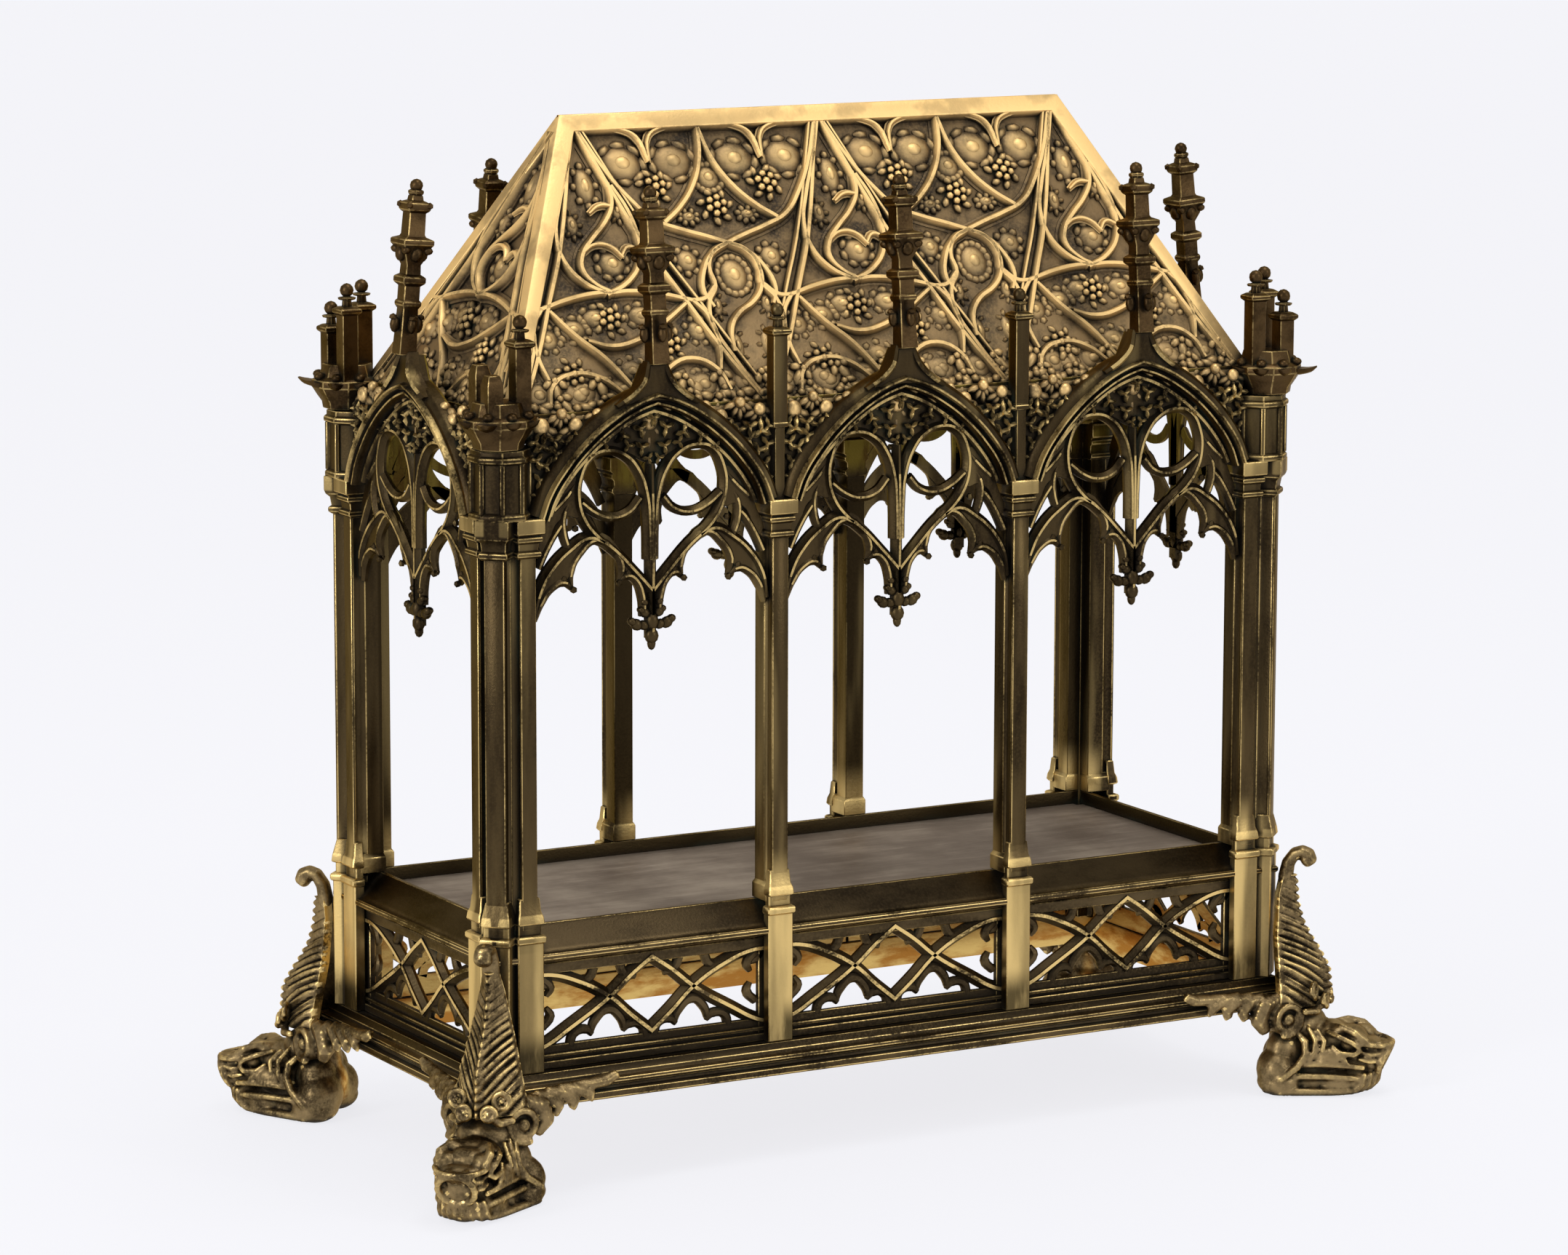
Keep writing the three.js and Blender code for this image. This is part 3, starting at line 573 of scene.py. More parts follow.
def lattice_panel(wide):
    w = BAY * wide / 2 - 0.4
    falling = [(-.47, .455), (-.40, .452), (-.30, .42), (-.168, .348), (-.08, .27), (0, .205, 1, True)]
    falling += mirrored(falling[:-1])[::-1]
    rising = [(-.47, .185), (-.42, .20), (-.33, .25), (-.168, .348), (-.08, .42), (0, .475, 1, True)]
    rising += mirrored(rising[:-1])[::-1]
    bars = sweep([bays(falling), bays(rising)], BAR, bright=2.5)
    # A trefoil of small lobes inside each lower opening, and the same upside down above.
    lobes = []
    for x in (-.168, .168):
        lobes.append([(x - .15, .185, 1), (x - .135, .225), (x - .085, .235), (x - .06, .215, .7)])
        lobes.append([(x - .07, .215, .7), (x - .05, .265), (x, .30, 1.1), (x + .05, .265), (x + .07, .215, .7)])
        lobes.append([(x + .06, .215, .7), (x + .085, .235), (x + .135, .225), (x + .15, .185, 1)])
    for x in (-.34, 0.0, .34):
        lobes.append([(x - .12, .46), (x - .10, .42), (x - .055, .405, .7)])
        lobes.append([(x + .055, .405, .7), (x + .10, .42), (x + .12, .46)])
    for side in (-1, 1):
        for z, turn in ((.30, -1), (.40, 1)):
            lobes.append([(side * .43, z + turn * .04), (side * .395, z), (side * .41, z - turn * .03, .6)])
    cusps = sweep([bays(line) for line in lobes], CUSP, steps=4)
    drawn = joined([bars, cusps])
    drawn.transform(Matrix.Diagonal((wide, 1, 1, 1)))
    rails = [
        rise([[(-w, 34.3, z), (w, 34.3, z), (w, 40.6, z), (-w, 40.6, z)] for z in (0, 1.7)], 0.2),
        rise([[(-w, 34.3, z), (w, 34.3, z), (w, 36.4, z), (-w, 36.4, z)] for z in (1, 3.2)], 0.25),
        rise([[(-w, 37.3, z), (w, 37.3, z), (w, 38.3, z), (-w, 38.3, z)] for z in (1, 2.9)], 0.3),
        rise([[(-w, 61.4, z), (w, 61.4, z), (w, 64.5, z), (-w, 64.5, z)] for z in (0, 2.3)], 0.3),
    ]
    stile = rise([[(w - 4.6, 36, z), (w, 36, z), (w, 64.4, z), (w - 4.6, 64.4, z)] for z in (0, 1.9)], 0.2)
    flat = joined([drawn, *rails, *both(stile)])
    return placed(flat, Matrix.Translation((0, -5.8, 0)) @ UPRIGHT)[0]


PANELS = {wide: lattice_panel(wide) for wide in (1.0, END_BAY / BAY)}
for name, way, wide in every_bay():
    piece(f"pierced_panel_{name}", PANELS[wide], BASE, way, [f"lattice_{name}"])
print("panel", COUNT["pierced_panel_front_1"])

# %% [markdown]
# ## Arches
# The arch is where the carver showed off. A hood mould of two fillets with a hollow between runs up
# both flanks to a point and turns up into an ogee under the finial. Inside it two teardrop loops cross
# at a stem, and below them each half of the opening has a cusped arch of its own. All of it is drawn
# with sweeps along smooth curves. Leaves fill the corners, and a small fleuron hangs from the stem.

# %% Tracery
HOOD = [
    (-3.0, 0), (-3.0, 4.8), (-2.6, 5.8), (-2.1, 5.8), (-1.7, 4.5), (-1.1, 4.3), (-0.8, 6.0), (-0.4, 6.9),
    (0.1, 6.9), (0.6, 5.3), (1.9, 5.3), (2.8, 4.5), (3.1, 3.6), (3.1, 0),
]
LOOP = [(-1.6, 0), (-1.6, 1.4), (-0.5, 2.5), (-0.36, 3.0), (0.36, 3.0), (0.5, 2.5), (1.6, 1.4), (1.6, 0)]
LOBE = [(-1.35, 0.3), (-1.35, 1.5), (-0.3, 2.6), (0.3, 2.6), (1.35, 1.5), (1.35, 0.3)]


def leaf_knot(x, z, size, picks):
    """Three small lobes round a spot of the bay's grid, as a carver cuts a curled leaf."""
    lobes = []
    first = picks.uniform(0, 2)
    for angle in (first, first + 2.1, first + 4.2):
        across = BAY * x + size * 0.75 * math.cos(angle)
        height = PLINTH_BOTTOM + BAY * z + size * 0.75 * math.sin(angle)
        lobes.append(mark(ball((across, height, 2.3), (size, size * 0.5, 1.9), turn=angle), 3.3))
    return lobes


def arch(wide):
    hood = [(.456, 2.083), (.425, 2.16), (.362, 2.25), (.28, 2.335), (.18, 2.41), (.085, 2.46), (0, 2.487, 1, True)]
    hood = hood[:-1] + [hood[-1]] + mirrored(hood[:-1])[::-1]
    inner = [(.405, 2.083), (.385, 2.125), (.325, 2.21), (.25, 2.285), (.165, 2.35), (.075, 2.40), (0, 2.425, 1, True)]
    inner = inner[:-1] + [inner[-1]] + mirrored(inner[:-1])[::-1]
    loop = [
        (0, 1.79), (.075, 1.87), (.15, 1.945), (.22, 2.0), (.268, 2.06), (.29, 2.13), (.283, 2.21), (.24, 2.28),
        (.175, 2.298), (.105, 2.275), (.055, 2.22), (.022, 2.13), (.012, 2.02), (.01, 1.90),
    ]
    arc = [(.045, 2.12), (.09, 2.075), (.16, 2.06), (.22, 2.08), (.275, 2.12)]
    leg = [(.19, 1.975), (.25, 1.995), (.32, 1.96), (.39, 1.90), (.44, 1.82), (.462, 1.73, .8)]
    lobes = [
        [(.03, 1.70, .9), (.035, 1.77), (.06, 1.83), (.095, 1.85), (.13, 1.825, .5)],
        [(.125, 1.825, .5), (.115, 1.88), (.145, 1.94), (.22, 1.985), (.28, 1.945), (.318, 1.88), (.31, 1.815, .5)],
        [(.305, 1.815, .5), (.345, 1.845), (.39, 1.83), (.43, 1.785), (.458, 1.715, .7)],
        [(.34, 2.06, .8), (.37, 2.03), (.41, 1.97), (.445, 1.90)],
        [(.29, 2.20, .7), (.33, 2.15), (.385, 2.10)],
        [(.325, 1.96, .9), (.345, 2.02), (.345, 2.08), (.32, 2.13, .7)],
    ]
    stem = sweep([bays([(0, 1.66), (0, 1.85), (0, 2.06), (0, 2.24, .8)])], LOOP, bright=2.8)
    half = [
        sweep([bays(loop)], LOOP, bright=2.8, steps=4),
        sweep([bays(leg)], LOOP, bright=2.8, steps=4),
        sweep([bays(arc), *[bays(line) for line in lobes]], LOBE, bright=2.4, steps=4),
    ]
    # Solid corners behind the cusps, and the leafy web under the point.
    corner = [(.0, 1.79), (.075, 1.86), (.15, 1.94), (.22, 1.995), (.12, 1.93), (.10, 1.86), (.05, 1.82)]
    outer = [(.25, 1.99), (.33, 1.95), (.40, 1.88), (.445, 1.80), (.455, 1.74), (.425, 1.79), (.38, 1.83), (.335, 1.85), (.29, 1.94)]
    crown = [(0, 2.44), (.12, 2.39), (.24, 2.30), (.31, 2.20), (.25, 2.28), (.165, 2.305), (.09, 2.28), (0, 2.24)]
    web = [bays(crown[:1] + crown[1:-1] + crown[-1:] + mirrored(crown[1:-1])[::-1])]
    shoulder = [(.285, 2.07), (.295, 2.14), (.29, 2.21), (.33, 2.20), (.38, 2.13), (.42, 2.05), (.44, 1.96), (.415, 1.96), (.38, 2.045), (.335, 2.075)]
    sheets = [plate([bays(outline)], 0.4, 2.0) for outline in (corner, outer, shoulder)]
    leaves = []
    picks = random.Random(7)
    for x, z, size in (
        (.045, 2.30, 1.6), (.05, 2.365, 1.8), (.12, 2.345, 1.7), (.19, 2.325, 1.4), (.10, 2.31, 1.4),
        (.0, 2.40, 1.5), (.02, 2.26, 1.2), (.25, 2.285, 1.1),
    ):
        leaves += leaf_knot(x, z, size, picks)
    # The points that grow on the cusps, each a small bud.
    for x, z in ((.128, 1.825), (.307, 1.815), (.345, 1.855), (.09, 1.86), (.30, 2.03), (.16, 2.06)):
        leaves.append(ball((BAY * x, PLINTH_BOTTOM + BAY * z, 1.7), (1.1, 1.1, 1.1)))
    fleuron = [
        sweep([bays([(0, 1.62), (0, 1.70), (0, 1.79)])], LOOP, bright=2.8),
        ball((0, PLINTH_BOTTOM + BAY * 1.68, 1.7), (2.0, 2.6, 2.1), 2),
        ball((0, PLINTH_BOTTOM + BAY * 1.628, 1.6), (2.1, 2.4, 1.8), 2),
        ball((0, PLINTH_BOTTOM + BAY * 1.60, 1.5), (1.2, 1.9, 1.3), 2),
    ]
    for x, z, size in (
        (.032, 1.668, 1.7), (.060, 1.672, 2.0), (.078, 1.684, 1.4), (.028, 1.712, 1.7), (.042, 1.722, 1.2), (.03, 1.75, 1.3),
    ):
        fleuron += both(ball((BAY * x, PLINTH_BOTTOM + BAY * z, 1.6), (size, size * 0.85, 1.5), 2, 0.5))
    ogee = [(.16, 2.452, .9), (.10, 2.49), (.055, 2.535), (.03, 2.60, .8)]
    cap = sweep([bays(ogee), bays(mirrored(ogee))], [(-0.8, 3), (-0.8, 6.6), (0, 7.3), (0.8, 6.6), (0.8, 3)], bright=6.6)
    flare = [(.13, 2.455, 1, True), (.07, 2.51, 1, True), (.035, 2.59, 1, True)]
    gusset = plate([bays([(0, 2.465, 1, True), *flare, *mirrored(flare)[::-1]])], 0, 5.6)
    # The wall between two hoods is solid up to the eaves, and covered with small leaves.
    wall_edge = [(.47, 2.09), (.44, 2.15), (.37, 2.25), (.29, 2.335), (.24, 2.36), (.4725, 2.36)]
    spandrel = plate([bays([(x, z, 1, True) for x, z in wall_edge])], 0.2, 2.0)
    foliage = []
    for x, z, size in (
        (.455, 2.16, 1.3), (.445, 2.21, 1.7), (.42, 2.26, 2.0), (.455, 2.28, 1.8), (.38, 2.30, 1.9),
        (.43, 2.33, 2.2), (.34, 2.335, 1.8), (.385, 2.345, 1.8), (.30, 2.35, 1.4), (.46, 2.345, 1.6),
    ):
        foliage += leaf_knot(x, z, size, picks)
    sides = [copy for mesh in [*half, *sheets, *leaves, *foliage, spandrel] for copy in both(mesh)]
    mould = sweep([bays(hood)], HOOD, bright=5.4, steps=7)
    line = sweep([bays(inner)], [(-0.9, 0), (-0.9, 2.6), (-0.4, 3.4), (0.4, 3.4), (1.3, 2.6), (1.3, 0)], bright=3.1, steps=7)
    flat = joined([mould, line, stem, cap, gusset, plate(web, 0.2, 1.8), *sides, *fleuron])
    flat.transform(Matrix.Diagonal((wide, 1, 1, 1)))
    return placed(flat, Matrix.Translation((0, -6.8, 0)) @ UPRIGHT)[0]


ARCHES = {wide: arch(wide) for wide in (1.0, END_BAY / BAY)}
for name, way, wide in every_bay():
    piece(f"arch_tracery_{name}", ARCHES[wide], ARCADE, way, [f"arch_{name}"])
print("arch", COUNT["arch_tracery_front_1"])

# %% [markdown]
# ## Piers
# An intermediate pier is a stack of stages. A pilaster stands before the pierced base, its front given
# a painted highlight and a painted sheen; a weathered block follows, then the slim shaft with its hollowed
# edges, a capital, a thinner shaft between the arches, and a small pinnacle. A stage is a ring of points raised to the
# next one.

# %% Piers
def shaft_ring(z, half, near, far):
    """The section of a shaft: a broad body, a hollow at each side, and a narrower fillet in front."""
    side = [(half, near), (half, far - 4.2), (half * 0.76, far - 3.4), (half * 0.72, far - 1.5), (half * 0.86, far - 0.7), (half * 0.8, far)]
    return [(x, -out, z) for x, out in side] + [(-x, -out, z) for x, out in reversed(side)]


def pier_stages(half, near=1.8, far=11.3):
    back = near - 0.5  # the capital wraps round the shaft's inner face too
    foot = tower([
        (34.3, 4.0, 8.7, 11.9), (71.4, 4.0, 8.7, 11.9), (71.9, 4.5, 8.7, 12.7), (73.6, 4.5, 8.7, 12.7),
        (74.1, 3.5, 8.7, 11.2), (76.8, 3.5, 8.7, 11.2), (77.2, 4.1, 8.7, 12.5), (79.2, 3.9, 8.7, 12.2),
        (80.6, 3.4, 8.7, 11.6), (84.5, 3.1, 8.7, 11.2),
    ], 0.3)
    block = tower([(75.2, half + 0.7, near - 0.4, 9.6), (79.6, half + 0.7, near - 0.4, 9.6), (81, half - 0.2, near + 0.2, 9.6)], 0.2)
    shaft = rise([shaft_ring(75.4, half, near, far), shaft_ring(184, half, near, far)], 0.18)
    capital = tower([
        (180.4, half + 0.1, back, far), (181.2, half + 0.8, back, far + 1.0), (182.2, half + 0.8, back, far + 1.0),
        (182.8, half + 0.1, back, far + 0.2), (184.6, half + 0.2, back, far + 0.4), (185.4, half + 1.0, back, far + 1.5),
        (186.4, half + 1.0, back, far + 1.5), (186.9, half + 0.6, back, far + 1.0), (187.6, half + 1.4, back, far + 2.2),
        (191.4, half + 1.4, back, far + 2.2), (191.7, half + 1.2, back, far + 2.0),
    ], 0.22)
    return [foot, block, shaft, capital]


def pinnacle(base, height, half, centre=(0, 0), broken=False):
    """A square shaft with a ring, a neck and a knob, or only its stump where it has snapped off."""
    top = base + height
    levels = [(base, half), (top - 9.4, half), (top - 8.6, half + 0.9), (top - 7.6, half + 0.9), (top - 6.8, half - 0.4)]
    if broken:
        levels = [(base, half), (top - 4, half), (top - 3, half * 0.9), (top - 1.2, half * 0.7)]
    made = [turned(levels, 4, 0.2)]
    if not broken:
        made.append(turned([(top - 7.4, half * 0.6), (top - 4.6, half * 0.5), (top - 4, half * 0.62)], 8, 0.1))
        made.append(ball((0, 0, top - 2.2), (half * 0.85, half * 0.85, 2.1), 2))
        made.append(turned([(top - 4.9, half * 0.95), (top - 4.2, half * 1.05)], 8, 0.15))
    return placed(joined(made), Matrix.Translation((*centre, 0)))[0]


def intermediate_pier():
    slim = rise([shaft_ring(191.5, 1.9, 3.0, 10.8), shaft_ring(213, 1.8, 3.0, 10.7)], 0.12)
    neck = tower([(212, 2.3, 6.8, 11.3), (213.2, 2.3, 6.8, 11.3), (214.2, 1.8, 7.0, 10.8)], 0.15)
    return joined([*pier_stages(3.1), slim, neck, pinnacle(213.6, 33.6, 2.2, (0, -8.9))])


PIER = intermediate_pier()
for wall, turn, out, pitch, centres in WALLS:
    for i in range(1, len(centres)):
        way = Matrix.Rotation(turn, 4, "Z") @ Matrix.Translation((centres[i] - BAY / 2, -out, 0))
        piece(f"pier_shafts_{wall}_{i}", PIER, ARCADE, way, [f"pier_{wall}_{i}"])
print("pier", COUNT["pier_shafts_front_1"])

# %% [markdown]
# A corner pier is a cluster: one shaft faces the front, one faces the end, and a third stands on the
# diagonal with deep hollows beside it. Above the capitals they gather into one dark ribbed drum.

# %% Corner piers
def diagonal_shaft():
    """The third shaft, drawn facing the front and then turned to the diagonal."""
    levels = [
        (34.3, 4.1, 4.0, 15.0), (71.4, 4.1, 4.0, 15.0), (71.9, 4.6, 4.0, 15.8), (73.6, 4.6, 4.0, 15.8),
        (74.1, 3.7, 4.0, 14.3), (76.8, 3.7, 4.0, 14.3), (77.2, 4.2, 4.0, 15.5), (79.2, 4.1, 4.0, 15.2), (84.0, 3.2, 4.0, 14.0),
    ]
    capital = [
        (180.4, 3.4, 4.0, 14.2), (181.2, 4.2, 4.0, 15.2), (182.4, 4.2, 4.0, 15.2), (183, 3.5, 4.0, 14.4),
        (185.4, 3.7, 4.0, 14.8), (186.4, 4.6, 4.0, 15.8), (187.6, 4.9, 4.0, 16.2), (191.7, 4.9, 4.0, 16.2),
    ]
    shaft = rise([shaft_ring(z, 3.5, 3.0, 14.2) for z in (78, 184)], 0.18)
    return joined([tower(levels, 0.3), tower(capital, 0.22), shaft])


def corner_pier():
    side = joined(pier_stages(2.9))
    core = rise([[(1, -1, z), (8.6, -1, z), (8.6, -8.6, z), (1, -8.6, z)] for z in (34.3, 191.7)], 0.2)
    hollow = rise([[(1.2, -9.3, z), (5.0, -9.3, z), (9.3, -5.0, z), (9.3, -1.2, z)] for z in (34.4, 191)], 0.2)
    drum = turned([
        (191.5, 8.4), (193, 8.4), (193.8, 7.3), (207, 7.3), (207.8, 8.6), (209, 8.6), (209.6, 7.8), (211, 7.8),
    ], 8, 0.25)
    parts = placed(side, Matrix(), Matrix.Rotation(math.pi / 2, 4, "Z"))
    parts += placed(diagonal_shaft(), Matrix.Rotation(math.pi / 4, 4, "Z"))
    parts += [core, hollow, *placed(drum, Matrix.Translation((5.6, -5.6, 0)))]
    web = rise([[(-6.0, -6.4, z), (2.0, -6.4, z), (2.0, -4.6, z), (-6.0, -4.6, z)] for z in (196, 211.4)], 0.2)
    parts += placed(web, Matrix(), Matrix(((0, -1, 0, 0), (-1, 0, 0, 0), (0, 0, 1, 0), (0, 0, 0, 1))))
    for turn in range(8):
        angle = math.pi / 8 + turn * math.pi / 4
        rib = turned([(193.4, 0.9), (207.4, 0.9)], 6, 0.2)
        parts += placed(rib, Matrix.Translation((5.6 + 7.9 * math.cos(angle), -5.6 + 7.9 * math.sin(angle), 0)))
    return joined(parts)


CORNER = corner_pier()
for name in CORNERS:
    piece(f"corner_shafts_{name}", CORNER, ARCADE, corner_way(name), [f"corner_pier_{name}"])
print("corner pier", COUNT["corner_shafts_front_right"])

# %% [markdown]
# ## Crowns and finials
# A crown of flaring leaves sits on each corner pier and holds three pinnacles. Two of the front left
# crown's are snapped off. A finial stands on the point of each arch: a square shaft, a ring, a knop of
# leaves, an abacus, a second shaft and a knob. It leans a little towards the roof, like its solid.

# %% Crowns
def leaf_tip(length, width, thick):
    """One pointed leaf lying along +x, curling up at its tip."""
    rib = [(0, 0, 1.0), (length * 0.45, 0.4, 1.15), (length * 0.8, 0.9, 0.8), (length, 1.8, 0.25)]
    section = [(-thick / 2, -width / 2), (-thick / 2, width / 2), (thick / 2, width * 0.3), (thick * 0.9, 0), (thick / 2, -width * 0.3)]
    return placed(sweep([rib], section, steps=4), UPRIGHT)[0]


def crown(broken):
    base = 211.3
    parts = placed(turned([
        (base, 6.6), (base + 2, 6.9), (base + 4, 8.2), (base + 6.4, 9.6), (base + 8.4, 9.6), (base + 9.4, 7.6), (base + 13, 6.6),
    ], 8, 0.25), Matrix.Translation((7.2, -7.6, 0)))
    for turn in range(8):
        angle = turn * math.pi / 4
        facing_roof = 100 < math.degrees(angle) % 360 < 170
        if not facing_roof:
            way = Matrix.Translation((7.2, -7.6, base + 6.5)) @ Matrix.Rotation(angle, 4, "Z") @ Matrix.Translation((5.5, 0, 0))
            long = 9.5 if turn == 7 else 6.4
            parts += placed(leaf_tip(long, 5.2, 1.3), way)
            parts += placed(ball((3.2, 0, 3.0), (1.8, 1.5, 1.3), 2), way)
            parts += placed(ball((2.0, 2.6, 0.6), (1.6, 1.3, 1.6), 1), way)
    for x, y, height in ((1.4, -9.6, 29), (9.8, -1.6, 29), (10.6, -10.8, 23)):
        snapped = broken and height == 29 and x > 5 or broken and height == 23
        parts.append(pinnacle(base + 8, height - (13 if snapped else 0) if not snapped or height == 29 else 14, 2.4, (x, y), snapped))
    return joined(parts)


CROWNS = {snapped: crown(snapped) for snapped in (False, True)}
for name in CORNERS:
    piece(f"crown_leaves_{name}", CROWNS[name == "front_left"], SPIRES, corner_way(name), [f"corner_crown_{name}"])
print("crown", COUNT["crown_leaves_front_right"])

# %% Finials
def finial():
    parts = [turned([
        (0, 2.7), (6, 2.5), (13, 2.3), (14, 2.9), (15, 2.9), (15.6, 2.4), (19.4, 2.4), (20.4, 3.5), (22, 3.5), (22.8, 2.3),
        (25.4, 2.2), (28, 3.4), (30.6, 4.2), (31.2, 4.7), (32.6, 4.7), (33.4, 2.9), (34, 2.6), (40, 2.5), (40.8, 3.4),
        (42.8, 3.6), (43.6, 1.8), (45, 1.6),
    ], 4, 0.22)]
    for turn in range(4):
        spin = Matrix.Rotation(turn * math.pi / 2, 4, "Z")
        diagonal = Matrix.Rotation(turn * math.pi / 2 + math.pi / 4, 4, "Z")
        parts += placed(ball((3.3, 0, 28.4), (1.6, 1.9, 2.2), 2), spin)
        parts += placed(ball((4.6, 0, 29.6), (1.7, 1.3, 1.2), 2), diagonal)
        parts += placed(ball((3.6, 0, 8.5), (1.5, 1.3, 2.4), 2), spin)
        parts += placed(ball((4.3, 0, 10.6), (1.2, 1.5, 1.0), 1), spin)
        parts += placed(ball((4.4, 0, 42.2), (1.1, 1.1, 1.1), 1), diagonal)
        parts += placed(rise([[(1.2, -0.6, z), (2.8, -0.6, z), (2.8, 0.6, z), (1.2, 0.6, z)] for z in (34.2, 40)], 0.15), diagonal)
    parts.append(turned([(44.6, 1.5), (45.6, 2.1), (46.2, 2.1), (46.6, 1.5)], 8, 0.12))
    parts.append(ball((0, 0, 47.7), (1.9, 1.9, 1.9), 2))
    lean = Matrix.Translation((0, -12.2, 232.3)) @ Matrix.Rotation(-0.09, 4, "X")
    return placed(joined(parts), lean)[0]


FINIAL = finial()
for name, way, wide in every_bay():
    piece(f"finial_{name}_spire", FINIAL, SPIRES, way, [f"finial_{name}"])
print("finial", COUNT["finial_front_1_spire"])

# %% [markdown]
# ## Roof
# The roof is a hollow hipped shell. Each slope has a broad gilt band round a sunk field, and in the
# field lies tracery in relief: fans of ribs from the ridge, teardrops with a curl inside, cusps, berries
# and round bosses. The shell is a block whose slopes are inset and pushed in. The relief is drawn once
# for half a bay, on a slope's own grid of bays along and down it, and is then mirrored and repeated.

# %% Roof finish
def raised_gold(f):
    """How far a spot stands up from the sunk fields: 0 in them, 1 on the bands and the ribs' tops."""
    x, y, z = axes(f)
    up, run, end_run = RIDGE - EAVES, ROOF_Y, ROOF_X - RIDGE_HALF
    down = z - RIDGE
    long_slope = (y * up + down * run) / math.hypot(up, run)
    end_slope = ((x - RIDGE_HALF) * up + down * end_run) / math.hypot(up, end_run)
    height = long_slope.highest(end_slope)
    stain = f.speckle(55.0, 4.0)
    band = f.ramp(height, -0.12, 0.02) * 0.22
    browned = 0.34 + f.ramp(z, EAVES + 2, EAVES + 20) * 0.66  # the foot of the slopes has lost most gilding
    return (f.ramp(height, -2.0, -0.3) * (0.42 + f.ramp(stain, 0.40, 0.56) * 0.5 + band) * browned).clamped()


ROOF = patinated(
    "roof_gilding", (0.010, 0.008, 0.006), (0.042, 0.034, 0.026), (0.26, 0.175, 0.085), 0.8, 5.0,
    lift=raised_gold, gold=(0.93, 0.64, 0.27), dull=0.14,
)

# %% Roof shell
def roof_shell():
    def rect(x, y, z):
        return [(-x, -y, z), (x, -y, z), (x, y, z), (-x, y, z)]

    outer = rise([rect(ROOF_X, ROOF_Y, EAVES), rect(RIDGE_HALF, 0.6, RIDGE - 0.6)], 0)
    bm = bmesh.new()
    bm.from_mesh(outer)
    bm.faces.ensure_lookup_table()
    slopes = [face for face in bm.faces if abs(face.normal.z) < 0.9]
    bmesh.ops.inset_individual(bm, faces=slopes, thickness=6.2, depth=0)
    for face in slopes:  # the sunk field runs down to the eaves, under the leaves
        low = [v for v in face.verts if v.co.z < EAVES + 20]
        for v in low:
            above = [e.other_vert(v) for e in v.link_edges if e in face.edges[:] and e.other_vert(v) not in low]
            v.co += (v.co - above[0].co).normalized() * 5.2
    bmesh.ops.inset_individual(bm, faces=slopes, thickness=1.1, depth=-2.5)
    base = [face for face in bm.faces if face.normal.z < -0.9]
    bmesh.ops.inset_individual(bm, faces=base, thickness=2.4, depth=0)
    inner = base[0]
    made = bmesh.ops.extrude_face_region(bm, geom=[inner])
    deep = [v for v in made["geom"] if isinstance(v, bmesh.types.BMVert)]
    for v in deep:
        v.co.x = math.copysign(RIDGE_HALF - 2, v.co.x)
        v.co.y = math.copysign(0.8, v.co.y)
        v.co.z = RIDGE - 7
    bmesh.ops.delete(bm, geom=[inner], context="FACES_ONLY")
    bmesh.ops.recalc_face_normals(bm, faces=bm.faces)
    soften(bm, 0.35, 2, 20)
    return to_mesh(bm)


def eaves_ring():
    """The upright band under the slopes, with a small moulding at its top and a skirt behind the arches."""
    profile = [
        (3.0, 211.5), (5.2, 211.5), (5.2, 214.0), (5.3, 215.0), (4.7, 215.6), (4.7, 217.2),
        (5.3, 217.8), (5.3, 219.6), (3.0, 219.6),
    ]
    return frame_ring(profile, 0.12, ROOF_X - 5.3, ROOF_Y - 5.3)


def hanging_leaf(x, z, size, picks):
    """A curled leaf that hangs from its stalk: long lobes fan out downwards, with a berry between."""
    lobes = [ball((BAY * x, PLINTH_BOTTOM + BAY * z, 2.9), (size * 0.42, size * 0.42, 1.6), 2)]
    for angle in (-2.75, -2.2, -1.57, -0.94, -0.39):
        angle += picks.uniform(-0.14, 0.14)
        long = size * (1.0 if -1.9 < angle < -1.2 else 0.8) * picks.uniform(0.85, 1.15)
        across = BAY * x + long * 0.85 * math.cos(angle)
        height = PLINTH_BOTTOM + BAY * z + long * 0.85 * math.sin(angle)
        lobes.append(ball((across, height, 2.0), (long * 0.72, size * 0.27, 1.5), 1, angle))
    return lobes


def eaves_leaves(wide, count=7):
    """A ragged row of curled leaves that spill from the roof's foot over one bay of the wall."""
    picks = random.Random(11)
    knots = []
    for i in range(count):
        x = (i + 0.5) / count - 0.5
        for shift, z, size in ((0.0, 2.392, 5.2), (0.5, 2.43, 4.2)):
            place = (x + shift / count + picks.uniform(-0.012, 0.012), z + picks.uniform(-0.012, 0.012))
            if abs(place[0]) < 0.49:
                knots += hanging_leaf(*place, size * picks.uniform(0.85, 1.2), picks)
    flat = joined([mark(knot, 3.0) for knot in knots])
    flat.transform(Matrix.Diagonal((wide, 1, 1, 1)))
    return placed(flat, Matrix.Translation((0, -5.4, 0)) @ UPRIGHT)[0]


piece("roof_shell", roof_shell(), ROOF, Matrix(), ["roof"], 30)
piece("eaves_moulding", eaves_ring(), ARCADE, Matrix(), ["roof"], 30)
for name, way, wide in every_bay():
    piece(f"eaves_leaves_{name}", eaves_leaves(wide), ROOF, way, ["roof"], 60)
print("roof shell", COUNT["roof_shell"], "eaves leaves", COUNT["eaves_leaves_left"])

# %% [markdown]
# The relief lies on the sunk field, 2.5 mm below the bands. A rib is a sweep that starts in the field
# and ends just under the bands' level. Where a slope ends, the relief is cut at the middle of the hip
# band by a plane, as the founder's model was, and the cut is closed.

